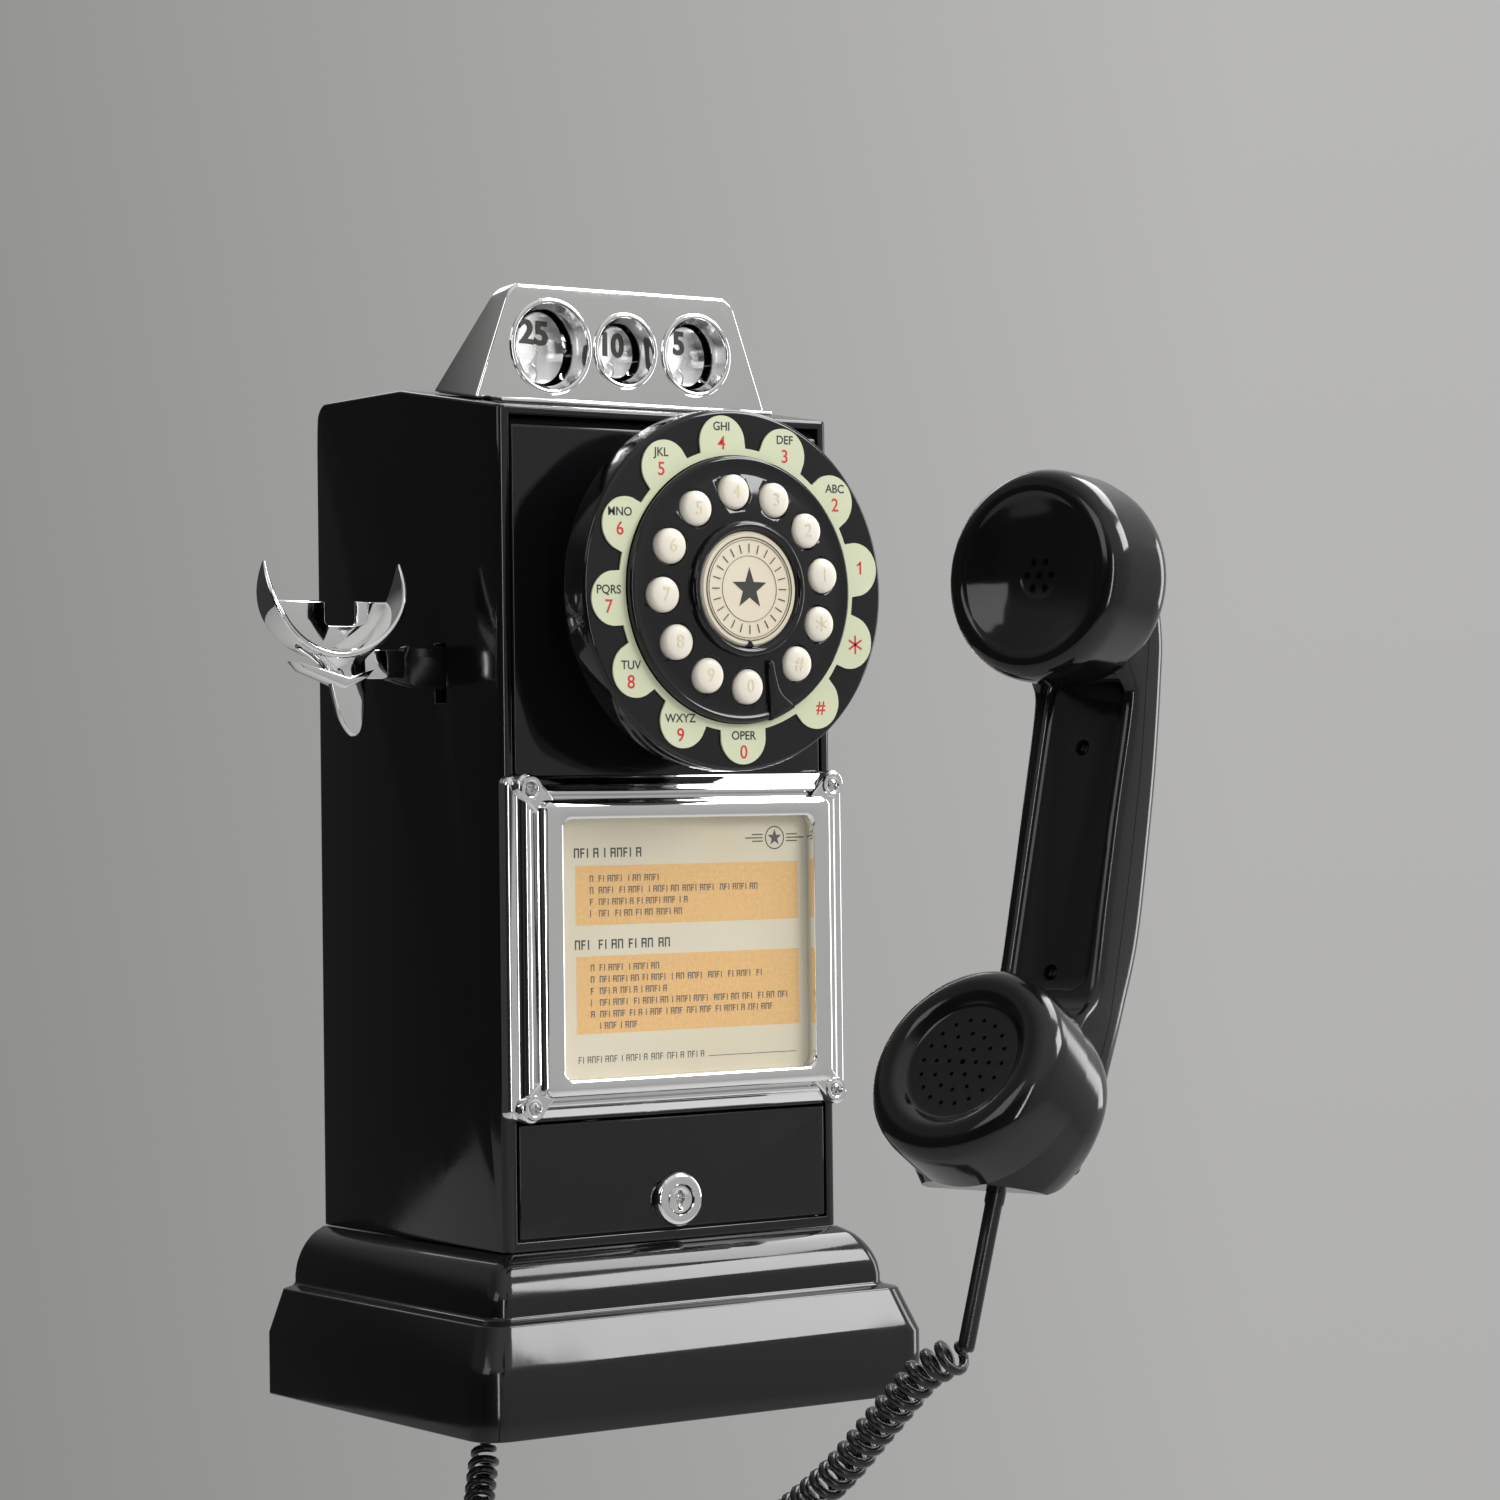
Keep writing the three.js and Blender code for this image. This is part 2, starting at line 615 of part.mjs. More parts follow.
function cordJack() {
  const body = box(JACK.x - 7.5, JACK.x + 7.5, JACK.y - 6.5, JACK.y + 6.5, 0.6, 17);
  const flange = box(JACK.x - 9.5, JACK.x + 9.5, JACK.y - 8.5, JACK.y + 8.5, 6.3, 8);
  const socket = box(JACK.x - 5, JACK.x + 5, JACK.y - 4.3, JACK.y + 4.3, -1, 14);
  return body.add(flange).subtract(socket);
}

// A modular plug that points up into its socket, with its latch on one side.
function modularPlug(x, y, z) {
  const body = box(x - 4.6, x + 4.6, y - 3.2, y + 3.2, z, z + 12);
  const latch = box(x - 1.6, x + 1.6, y + 3, y + 4, z - 1.6, z + 8);
  return body.add(latch);
}

// ---------------------------------------------------------------- handset
// In the handset's own frame the caps face -Y, the earpiece is up and z = 0 lies midway.
const EAR_Z = CAP_SPACING / 2;

function atEar(solid) {
  return solid.rotate([EAR_TILT, 0, 0]).translate([0, 0, EAR_Z]);
}

function atMouth(solid) {
  return solid.rotate([-MOUTH_TILT, 0, 0]).translate([0, 0, -EAR_Z]);
}

function capCup(holes) {
  let cup = turned([
    [0, 3.6], [20, 3.2], [21.5, 0.8], [24.5, 0], [28.5, 0.3], [32.2, 2], [34.4, 5.2], [CAP_R, 9],
    [CAP_R, CAP_DEPTH], [31.5, CAP_DEPTH], [31.5, 8.5], [27, 6.6], [0, 6.6],
  ], 28);
  for (const [r, count] of holes) {
    for (let i = 0; i < count; i += 1) {
      const a = (i / count) * Math.PI * 2;
      cup = cup.subtract(rodY(1, -2, 10, 6).translate([r * Math.cos(a), 0, r * Math.sin(a)]));
    }
  }
  return cup;
}

const HANDLE_BACK = [
  [20, 112], [33, 106], [42, 95], [48, 78], [52, 60], [57, 28], [60, -7], [61.5, -36], [58, -58], [54.5, -82],
  [49, -107], [26, -118.4],
];
const HANDLE_FRONT = [
  [18, -118.4], [20, -80], [41.6, -42], [40.6, 0], [39.8, 36], [28, 52], [24, 80],
];

function handsetBody() {
  const handle = sideSlab([...HANDLE_FRONT, ...HANDLE_BACK], -20.5, 20.5);
  const seat = CAP_DEPTH + GAP;
  const drum = turned([[0, seat], [34.2, seat], [33.6, seat + 5], [29, 38], [20, 45], [0, 46]], 20);
  const room = sideSlab([
    [-20, -118.4], [26, -118.4], [49, -107], [60, -101.5], [60, 112], [-20, 112],
  ], -40, 40);
  return handle.add(atEar(drum)).add(atMouth(drum).intersect(room));
}

// The hollow along the grip, shared by both shells.
const GRIP_HOLLOW = [[44.4, -50], [43.4, 0], [42.8, 40], [52, 40], [56.4, 0], [56.4, -50]];

// The line along the side where the two shells meet.
const SEAM = [[38, 140], [40, 90], [44, 60], [49, 25], [51, -15], [50, -55], [44, -90], [40, -140]];

function handsetShells() {
  const skin = handsetBody().subtract(sideSlab(GRIP_HOLLOW, -17.5, 17.5));
  const rear = [...SEAM.map(([y, z]) => [y + GAP, z]), [90, -140], [90, 140]];
  const fore = [...SEAM, [-60, -140], [-60, 140]];
  const socket = box(-5, 5, 26.4, 35.4, -130, -104);
  const port = rodY(24, 10, 34, 24);
  const holes = [42, -34].map((z) => rodY(2.6, 30, 46, 12).translate([0, 0, z]));
  let front = skin.intersect(sideSlab(fore, -50, 50)).subtract(socket);
  front = front.subtract(atEar(port)).subtract(atMouth(port));
  for (const hole of holes) front = front.subtract(hole);
  const back = skin.intersect(sideSlab(rear, -50, 50));
  return { front, back };
}

function capsule() {
  return turned([[0, 8], [22, 8], [25.5, 10], [25.5, 20], [0, 20]], 28);
}

function handsetLead() {
  return rodZ(LEAD_R, -119.4 - LEAD_LENGTH, -119.4, 10).translate([0, 31, 0]);
}

function handset() {
  const group = new THREE.Group();
  const { front, back } = handsetShells();
  const earHoles = [[0, 1], [6, 6]];
  const mouthHoles = [[0, 1], [9, 8]];
  group.add(
    piece('handset_front', front, BLACK),
    piece('handset_back', back, BLACK),
    piece('ear_cap', atEar(capCup(earHoles)), BLACK),
    piece('mouth_cap', atMouth(capCup(mouthHoles)), BLACK),
    piece('receiver_capsule', atEar(capsule()), GREY),
    piece('microphone_capsule', atMouth(capsule()), GREY),
    piece('handset_plug', modularPlug(0, 31, -119.1), CLEAR),
    piece('handset_lead', handsetLead(), BLACK),
  );
  group.position.copy(HANDSET_AT);
  group.rotation.order = 'ZXY';
  group.rotation.set(radians(HANDSET_LEAN), 0, radians(HANDSET_TURN));
  return group;
}

// The curly cord as one closed tube of its outer size, from the handset's lead to the phone's plug.
const CORD_ROUTE = [
  [-149.5, -518.5, 71.5], [-151.5, -512, 68], [-154, -504, 61], [-157, -493, 50], [-161, -475, 32],
  [-164, -442, 10],
  [-163, -402, -13], [-159, -357, -34], [-152, -311, -50], [-143, -266, -61], [-131, -223, -66],
  [-116, -184, -65], [-99, -151, -57], [-83, -124, -43], [-70, -107, -25], [-63.5, -100.8, -11],
  [-62, -100, -3.9],
];

function curlyCord() {
  return tube(CORD_ROUTE.map((p) => new THREE.Vector3(...p)), COIL_R, 26, 8);
}

// ---------------------------------------------------------------- assembly
const phone = new THREE.Group();
phone.add(
  piece('back_plate', backPlate(), STEEL),
  piece('housing_shell', housingShell(), BLACK),
  piece('front_panel', frontPanel(), BLACK),
  piece('base_moulding', baseMoulding(), BLACK),
  piece('coin_head', coinHead(), CHROME),
  ...COINS.map(coinGauge),
  piece('coin_chute', coinChute(), GREY),
  piece('coin_box', coinBox(), STEEL),
  piece('coin_door', coinDoor(), BLACK),
  piece('door_hinge_pin', doorHingePin(), STEEL),
  piece('lock_body', lockBody(), CHROME),
  piece('lock_plug', lockPlug(), STEEL),
  piece('lock_cam', lockCam(), STEEL),
  piece('dial_neck', dialNeck(), BLACK),
  piece('dial_disc', dialDisc(), BLACK),
  piece('number_plate', numberPlate(), PALE_GREEN),
  piece('dial_dome', dialDome(), BLACK),
  piece('badge_ring', badgeRing(), BLACK),
  piece('badge', badge(), PAPER),
  piece('finger_stop', fingerStop(), BLACK),
  ...BUTTONS.map((_, i) => button(i)),
  piece('keypad_mat', keypadMat(), GREY),
  piece('keypad_board', keypadBoard(), BOARD),
  piece('card_frame', cardFrame(), CHROME),
  piece('card', card(), PAPER),
  piece('card_window', cardWindow(), CLEAR),
  ...SCREWS.map((_, i) => piece('frame_screw_' + (i + 1), frameScrew(i), CHROME)),
  piece('hook_arm', hookArm(), BLACK),
  piece('hook_cradle', hookCradle(), CHROME),
  piece('hook_pin', hookPin(), STEEL),
  piece('hook_spring', hookSpring(), BRASS),
  piece('main_board', mainBoard(), BOARD),
  piece('ringer', ringer(), GREY),
  piece('cord_jack', cordJack(), GREY),
  piece('phone_plug', modularPlug(JACK.x, JACK.y, -1.9), CLEAR),
  piece('curly_cord', curlyCord(), BLACK),
  handset(),
);
phone.position.z = -WALL_HEIGHT;

const payphone = new THREE.Group();
payphone.add(phone);

export default payphone;
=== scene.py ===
"""The looks of a wall payphone with a push-button dial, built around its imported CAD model.

Shapes are drawn in millimetres in the phone's own frame: x to the right, y into the wall and z above the
underside of the base. The handset is drawn in a frame of its own. place() turns both into metres.
"""
import math

import bmesh
import bpy
from mathutils import Matrix, Vector


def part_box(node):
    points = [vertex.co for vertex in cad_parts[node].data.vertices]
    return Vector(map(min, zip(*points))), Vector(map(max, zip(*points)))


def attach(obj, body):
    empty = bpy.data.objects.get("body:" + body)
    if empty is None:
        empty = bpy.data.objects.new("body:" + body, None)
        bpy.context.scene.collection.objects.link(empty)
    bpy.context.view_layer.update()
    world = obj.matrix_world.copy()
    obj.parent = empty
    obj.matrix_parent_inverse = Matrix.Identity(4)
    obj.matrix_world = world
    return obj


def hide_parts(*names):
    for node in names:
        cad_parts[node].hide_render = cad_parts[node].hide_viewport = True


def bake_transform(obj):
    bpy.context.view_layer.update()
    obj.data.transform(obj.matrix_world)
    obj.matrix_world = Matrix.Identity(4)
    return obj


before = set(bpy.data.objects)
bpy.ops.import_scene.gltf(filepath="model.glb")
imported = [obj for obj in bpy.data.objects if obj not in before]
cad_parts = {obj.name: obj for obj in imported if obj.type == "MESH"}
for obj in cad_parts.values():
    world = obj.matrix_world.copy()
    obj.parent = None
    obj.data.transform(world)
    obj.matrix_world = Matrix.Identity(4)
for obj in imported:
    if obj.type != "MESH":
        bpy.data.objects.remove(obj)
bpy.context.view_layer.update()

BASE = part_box("base_moulding")[0].z
PHONE = Matrix.Translation((0, 0, BASE)) @ Matrix.Scale(0.001, 4)


def span(node):
    """A CAD node's lowest and highest corners, in millimetres in the phone's frame."""
    inverse = PHONE.inverted()
    return tuple(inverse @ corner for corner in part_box(node))


# ---------------------------------------------------------------- camera and surroundings
CAMERA_AT = Vector((-0.943, -1.541, 0.027))
CAMERA_YAW = 35.22
CAMERA_PITCH = 0.52
CAMERA_ROLL = -0.68
CAMERA_LENS = 97.5
FLOOR_Z = -0.95
FLOOR_RADIUS = 3.0


def make_camera():
    yaw, pitch, roll = (math.radians(a) for a in (CAMERA_YAW, CAMERA_PITCH, CAMERA_ROLL))
    forward = Vector((math.sin(yaw) * math.cos(pitch), math.cos(yaw) * math.cos(pitch), math.sin(pitch)))
    level = Vector((math.cos(yaw), -math.sin(yaw), 0))
    above = level.cross(forward)
    right = level * math.cos(roll) + above * math.sin(roll)
    up = above * math.cos(roll) - level * math.sin(roll)
    data = bpy.data.cameras.new("camera")
    data.lens = CAMERA_LENS
    data.sensor_width = 36
    data.clip_start = 0.05
    camera = bpy.data.objects.new("camera", data)
    turn = Matrix((right, up, -forward)).transposed().to_4x4()
    camera.matrix_world = Matrix.Translation(CAMERA_AT) @ turn
    bpy.context.scene.collection.objects.link(camera)
    bpy.context.scene.camera = camera


make_camera()


# ---------------------------------------------------------------- drawing tools
def new_piece(name, verts, faces):
    """A mesh object in the scene, with its faces turned outward."""
    mesh = bpy.data.meshes.new(name)
    mesh.from_pydata([tuple(v) for v in verts], [], faces)
    obj = bpy.data.objects.new(name, mesh)
    bpy.context.scene.collection.objects.link(obj)
    outward(obj)
    return obj


def edit(obj, work):
    """Runs work on the piece's mesh as a bmesh."""
    bm = bmesh.new()
    bm.from_mesh(obj.data)
    work(bm)
    bm.to_mesh(obj.data)
    bm.free()
    return obj


def outward(obj):
    return edit(obj, lambda bm: bmesh.ops.recalc_face_normals(bm, faces=bm.faces))


def applied(obj):
    """Turns the piece's modifiers, or its curve or text, into a plain mesh."""
    bpy.context.view_layer.update()
    graph = bpy.context.evaluated_depsgraph_get()
    mesh = bpy.data.meshes.new_from_object(obj.evaluated_get(graph))
    if obj.type == "MESH":
        obj.modifiers.clear()
        obj.data = mesh
        return obj
    name = obj.name
    bpy.data.objects.remove(obj)
    made = bpy.data.objects.new(name, mesh)
    bpy.context.scene.collection.objects.link(made)
    return made


def combine(obj, *tools, how="DIFFERENCE"):
    """Cuts the tools out of the piece, or joins or meets them with it, and deletes them."""
    for tool in tools:
        modifier = obj.modifiers.new("combine", "BOOLEAN")
        modifier.operation = how
        modifier.solver = "EXACT"
        modifier.object = tool
        applied(obj)
        bpy.data.objects.remove(tool)
    return obj


def joined(name, parts):
    """Puts several meshes into one piece, with their materials."""
    with bpy.context.temp_override(
        active_object=parts[0], object=parts[0], selected_objects=parts, selected_editable_objects=parts
    ):
        bpy.ops.object.join()
    parts[0].name = name
    return parts[0]


def rounded(obj, width, segments=3, angle=32):
    """Rounds every edge sharper than angle."""
    modifier = obj.modifiers.new("bevel", "BEVEL")
    modifier.width = width
    modifier.segments = segments
    modifier.limit_method = "ANGLE"
    modifier.angle_limit = math.radians(angle)
    modifier.use_clamp_overlap = False
    return applied(obj)


def round_edges(obj, width, segments, chosen):
    """Rounds the edges for which chosen(middle, direction) is true."""

    def work(bm):
        edges = []
        for edge in bm.edges:
            a, b = (v.co for v in edge.verts)
            if chosen((a + b) / 2, (b - a).normalized()):
                edges.append(edge)
        bmesh.ops.bevel(bm, geom=edges, offset=width, segments=segments, profile=0.5, affect="EDGES")

    return edit(obj, work)


def moved(obj, matrix):
    obj.data.transform(matrix)
    return obj


def placed(at, degrees, axis="Y"):
    """The matrix that turns about an axis and then moves to a point."""
    return Matrix.Translation(at) @ Matrix.Rotation(math.radians(degrees), 4, axis)


def block(name, x0, x1, y0, y1, z0, z1):
    verts = [(x, y, z) for z in (z0, z1) for y in (y0, y1) for x in (x0, x1)]
    faces = [(0, 1, 3, 2), (4, 6, 7, 5), (0, 4, 5, 1), (2, 3, 7, 6), (0, 2, 6, 4), (1, 5, 7, 3)]
    return new_piece(name, verts, faces)


def prism(name, outline, low, high, axis="y"):
    """An outline drawn in x and z and run along y, or drawn in y and z and run along x."""
    put = (lambda a, b, t: (a, t, b)) if axis == "y" else (lambda a, b, t: (t, a, b))
    count = len(outline)
    verts = [put(a, b, t) for t in (low, high) for a, b in outline]
    faces = [tuple(range(count)), tuple(range(2 * count - 1, count - 1, -1))]
    faces += [(i, (i + 1) % count, (i + 1) % count + count, i + count) for i in range(count)]
    return new_piece(name, verts, faces)


def loft(name, rings, closed=False):
    """Joins rings of equal length in turn; closed joins the last to the first, else both are capped."""
    count = len(rings[0])
    verts = [v for ring in rings for v in ring]
    faces = []
    pairs = len(rings) if closed else len(rings) - 1
    for k in range(pairs):
        here, there = k * count, ((k + 1) % len(rings)) * count
        for i in range(count):
            j = (i + 1) % count
            faces.append((here + i, here + j, there + j, there + i))
    if not closed:
        faces += [tuple(range(count)), tuple(range((len(rings) - 1) * count, len(rings) * count))]
    return new_piece(name, verts, faces)


def lathe(name, profile, centre=(0, 0), steps=96):
    """A profile of (radius, y) turned about the line along y through centre, which is (x, z)."""
    verts, faces, rows = [], [], []
    for r, y in profile:
        if r < 1e-6:
            rows.append([len(verts)] * steps)
            verts.append((centre[0], y, centre[1]))
            continue
        rows.append(range(len(verts), len(verts) + steps))
        turns = (2 * math.pi * i / steps for i in range(steps))
        verts += [(centre[0] + r * math.cos(a), y, centre[1] + r * math.sin(a)) for a in turns]
    on_axis = profile[0][0] < 1e-6
    pairs = list(zip(rows, rows[1:])) + ([] if on_axis else [(rows[-1], rows[0])])
    for low, high in pairs:
        for i in range(steps):
            j = (i + 1) % steps
            corners = dict.fromkeys((low[i], low[j], high[j], high[i]))
            if len(corners) > 2:
                faces.append(tuple(corners))
    return new_piece(name, verts, faces)


def rod(name, radius, y0, y1, centre=(0, 0), steps=48):
    """A round bar along y, used for holes and knuckles."""
    return lathe(name, [(0, y0), (radius, y0), (radius, y1), (0, y1)], centre, steps)


def arc(cx, cy, rx, ry, start, end, steps):
    """Points on an ellipse from one angle to another, in degrees."""
    angles = (math.radians(start + (end - start) * i / steps) for i in range(steps + 1))
    return [(cx + rx * math.cos(a), cy + ry * math.sin(a)) for a in angles]


def smooth_line(points, steps=8):
    """A smooth line through points of any dimension."""
    knots = [Vector(p) for p in points]
    ends = [knots[0] * 2 - knots[1]] + knots + [knots[-1] * 2 - knots[-2]]
    line = []
    for a, b, c, d in zip(ends, ends[1:], ends[2:], ends[3:]):
        for i in range(steps):
            t = i / steps
            line.append(
                (b * 2 + (c - a) * t + (a * 2 - b * 5 + c * 4 - d) * t**2 + (b * 3 - a - c * 3 + d) * t**3) / 2
            )
    return line + [knots[-1]]


def curve(points, steps=8):
    """smooth_line as plain pairs, for outlines and profiles."""
    return [tuple(p) for p in smooth_line(points, steps)]


def rectangle(x0, x1, z0, z1, r, steps=6):
    """The outline of a rectangle with round corners."""
    return (
        arc(x1 - r, z0 + r, r, r, -90, 0, steps)
        + arc(x1 - r, z1 - r, r, r, 0, 90, steps)
        + arc(x0 + r, z1 - r, r, r, 90, 180, steps)
        + arc(x0 + r, z0 + r, r, r, 180, 270, steps)
    )


def words(name, marks, y, depth=0.12, weight=0.0):
    """Flat lettering that faces -y. Each mark is (text, x, z, size)."""
    parts = []
    for text, x, z, size in marks:
        data = bpy.data.curves.new(name, "FONT")
        data.body = text
        data.size = size
        data.align_x = "CENTER"
        data.align_y = "CENTER"
        data.extrude = depth / 2
        data.offset = weight
        data.resolution_u = 6
        obj = bpy.data.objects.new(name, data)
        bpy.context.scene.collection.objects.link(obj)
        obj = applied(obj)
        moved(obj, placed((x, y - depth / 2, z), 90, "X"))
        parts.append(obj)
    return joined(name, parts)


def cut_cross(screw, half, reach, y0, y1, turn, z=0):
    """Cuts a cross recess into a screw's head, turned by some degrees."""
    for degrees in (turn, turn + 90):
        bar = block("bar", -half, half, y0, y1, -reach, reach)
        combine(screw, moved(bar, placed((0, 0, z), degrees)))


def place(obj, material, body, nodes=(), to=PHONE, smooth=40):
    """Finishes a piece: into metres, smooth, with its material, its body and the CAD nodes it stands for."""
    moved(obj, to)
    outward(obj)
    obj.data.shade_smooth()
    obj.data.set_sharp_from_angle(angle=math.radians(smooth))
    if material is not None:
        obj.data.materials.clear()
        obj.data.materials.append(material)
    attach(obj, body)
    if nodes:
        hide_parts(*nodes)
    return obj


# ---------------------------------------------------------------- materials
class Surface:
    """A Principled material with a few node helpers."""

    def __init__(self, name, color, roughness, metallic=0.0, **sockets):
        self.material = bpy.data.materials.new(name)
        self.material.use_nodes = True
        self.nodes = self.material.node_tree.nodes
        self.links = self.material.node_tree.links
        self.shader = self.nodes["Principled BSDF"]
        self.shader.inputs["Base Color"].default_value = (*color, 1)
        self.shader.inputs["Roughness"].default_value = roughness
        self.shader.inputs["Metallic"].default_value = metallic
        for key, value in sockets.items():
            self.shader.inputs[key.replace("_", " ")].default_value = value
        self.place = self.nodes.new("ShaderNodeTexCoord").outputs["Object"]
        self.height = None

    def noise(self, scale, detail=3.0, stretch=None):
        texture = self.nodes.new("ShaderNodeTexNoise")
        texture.inputs["Scale"].default_value = scale
        texture.inputs["Detail"].default_value = detail
        source = self.place
        if stretch:
            mapping = self.nodes.new("ShaderNodeMapping")
            mapping.inputs["Scale"].default_value = stretch
            self.links.new(source, mapping.inputs["Vector"])
            source = mapping.outputs["Vector"]
        self.links.new(source, texture.inputs["Vector"])
        return texture.outputs["Fac"]

    def cells(self, scale):
        texture = self.nodes.new("ShaderNodeTexVoronoi")
        texture.inputs["Scale"].default_value = scale
        self.links.new(self.place, texture.inputs["Vector"])
        return texture.outputs["Distance"]

    def ramp(self, value, low, high, first, second):
        """Maps value from low..high to first..second."""
        node = self.nodes.new("ShaderNodeMapRange")
        node.clamp = True
        for key, number in (("From Min", low), ("From Max", high), ("To Min", first), ("To Max", second)):
            node.inputs[key].default_value = number
        self.links.new(value, node.inputs["Value"])
        return node.outputs["Result"]

    def blend_color(self, value, first, second):
        node = self.nodes.new("ShaderNodeMix")
        node.data_type = "RGBA"
        node.inputs["A"].default_value = (*first, 1)
        node.inputs["B"].default_value = (*second, 1)
        self.links.new(value, node.inputs["Factor"])
        self.links.new(node.outputs["Result"], self.shader.inputs["Base Color"])

    def roughen(self, value):
        self.links.new(value, self.shader.inputs["Roughness"])

    def bump(self, value, distance, strength=1.0):
        """Adds a layer of relief; distance is in metres."""
        node = self.nodes.new("ShaderNodeBump")
        node.inputs["Distance"].default_value = distance
        node.inputs["Strength"].default_value = strength
        self.links.new(value, node.inputs["Height"])
        if self.height is not None:
            self.links.new(self.height, node.inputs["Normal"])
        self.height = node.outputs["Normal"]
        self.links.new(self.height, self.shader.inputs["Normal"])


def gloss_black(name="gloss_black", roughness=0.07):
    """Deep moulded black, with sink waves, faint smears and a little dust."""
    s = Surface(name, (0.006, 0.006, 0.007), roughness, IOR=1.5)
    smears = s.noise(26, 5, (1, 1, 0.35))
    s.roughen(s.ramp(smears, 0.35, 0.75, roughness * 0.7, roughness * 2.4))
    s.bump(s.noise(18, 1), 0.0003, 0.12)
    s.bump(s.noise(420, 2), 0.00002, 0.25)
    dust = s.ramp(s.cells(900), 0.0, 0.06, 1, 0)
    s.blend_color(dust, (0.006, 0.006, 0.007), (0.03, 0.03, 0.032))
    return s.material


def chrome(name="chrome", roughness=0.045):
    """Bright plating over moulded plastic: soft waves, a fine haze and hairline scratches."""
    s = Surface(name, (0.80, 0.81, 0.82), roughness, 1.0)
    haze = s.noise(60, 4)
    s.roughen(s.ramp(haze, 0.3, 0.75, roughness * 0.8, roughness * 1.4))
    s.blend_color(s.noise(14, 2), (0.79, 0.795, 0.795), (0.83, 0.835, 0.83))
    s.bump(s.noise(22, 1), 0.0004, 0.16)
    s.bump(s.noise(340, 3, (0.12, 1, 1)), 0.00003, 0.1)
    return s.material


def steel(name="steel", color=(0.52, 0.53, 0.54), roughness=0.34):
    """Zinc-plated sheet with a brushed grain and a faint bloom."""
    s = Surface(name, color, roughness, 1.0)
    s.roughen(s.ramp(s.noise(30, 5), 0.3, 0.7, roughness * 0.8, roughness * 1.35))
    s.blend_color(s.noise(9, 4), tuple(c * 0.8 for c in color), tuple(min(1, c * 1.15) for c in color))
    s.bump(s.noise(700, 2, (0.04, 1, 1)), 0.00004, 0.35)
    return s.material


def moulded(name, color, roughness, variation=0.12, **sockets):
    """Plain moulded plastic with a fine grain."""
    s = Surface(name, color, roughness, **sockets)
    dark, light = (tuple(min(1, c * (1 + k)) for c in color) for k in (-variation, variation))
    s.blend_color(s.noise(40, 4), dark, light)
    s.roughen(s.ramp(s.noise(90, 3), 0.3, 0.7, roughness * 0.8, roughness * 1.2))
    s.bump(s.noise(900, 3), 0.00004, 0.3)
    return s.material


def paper(name, color):
    """Printed card with fibres and slight yellowing."""
    s = Surface(name, color, 0.55)
    aged = tuple(c * k for c, k in zip(color, (0.93, 0.88, 0.78)))
    s.blend_color(s.ramp(s.noise(12, 5), 0.35, 0.8, 0, 1), color, aged)
    s.bump(s.noise(1500, 3, (1, 1, 0.3)), 0.00002, 0.15)
    return s.material


def ink(name, color, roughness=0.5):
    """Printing ink with slightly uneven cover."""
    s = Surface(name, color, roughness)
    s.blend_color(s.noise(700, 3), tuple(c * 0.8 for c in color), tuple(min(1, c * 1.25) for c in color))
    return s.material


def clear_plastic(name, alpha, tint=(0.9, 0.94, 0.95)):
    """Clear styrene with faint flow marks."""
    s = Surface(name, tint, 0.06, IOR=1.49, Alpha=alpha)
    s.roughen(s.ramp(s.noise(50, 2), 0.3, 0.7, 0.03, 0.12))
    s.bump(s.noise(30, 1), 0.0002, 0.1)
    return s.material


def circuit_board(name):
    """Green solder mask with lighter tracks."""
    s = Surface(name, (0.02, 0.10, 0.04), 0.35)
    tracks = s.ramp(s.noise(160, 0, (1, 1, 0.1)), 0.52, 0.54, 0, 1)
    s.blend_color(tracks, (0.02, 0.09, 0.035), (0.05, 0.20, 0.08))
    s.bump(tracks, 0.00005, 0.5)
    return s.material


BLACK = gloss_black()
BLACK_HANDSET = gloss_black("gloss_black_handset", 0.09)
CORD_BLACK = moulded("cord_vinyl", (0.009, 0.009, 0.010), 0.24)
CHROME = chrome()
SATIN = chrome("satin_chrome", 0.07)
FROSTED = chrome("frosted_chrome", 0.3)
OXIDE = steel("black_oxide", (0.05, 0.05, 0.055), 0.4)
STEEL = steel()
BRASS = steel("spring_wire", (0.55, 0.42, 0.20), 0.3)
IVORY = moulded("ivory", (0.88, 0.83, 0.72), 0.28, 0.04, Subsurface_Weight=0.15, Subsurface_Scale=0.002)
IVORY_MARK = moulded("ivory_mark", (0.80, 0.69, 0.49), 0.35, 0.05)
GREEN = moulded("pale_green", (0.68, 0.72, 0.50), 0.38, 0.03)
RED_INK = ink("red_ink", (0.62, 0.03, 0.03))
DARK_INK = ink("dark_ink", (0.03, 0.03, 0.025))
BROWN_INK = ink("brown_ink", (0.16, 0.10, 0.055))
TAN_INK = ink("tan_ink", (0.83, 0.48, 0.15), 0.55)
CARD = paper("card_paper", (0.77, 0.70, 0.53))
LABEL = paper("label_paper", (0.80, 0.74, 0.60))
WINDOW = clear_plastic("window_plastic", 0.05)
PLUG = clear_plastic("plug_plastic", 0.45)
GREY = moulded("grey_plastic", (0.10, 0.105, 0.11), 0.5)
RUBBER = moulded("silicone_mat", (0.12, 0.12, 0.13), 0.7)
BOARD = circuit_board("circuit_board")

CARRIED = {
    STEEL: ["door_hinge_pin", "lock_cam", "coin_box", "hook_pin"],
    BRASS: ["hook_spring"],
    GREY: ["coin_chute", "cord_jack", "ringer"],
    CORD_BLACK: ["receiver_capsule", "microphone_capsule"],
    RUBBER: ["keypad_mat"],
    BOARD: ["keypad_board", "main_board"],
    CARD: ["card"],
    WINDOW: ["card_window"],
    PLUG: ["phone_plug"],
}
for carried_material, carried_nodes in CARRIED.items():
    for carried_name in carried_nodes:
        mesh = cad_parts[carried_name].data
        mesh.materials.clear()
        mesh.materials.append(carried_material)


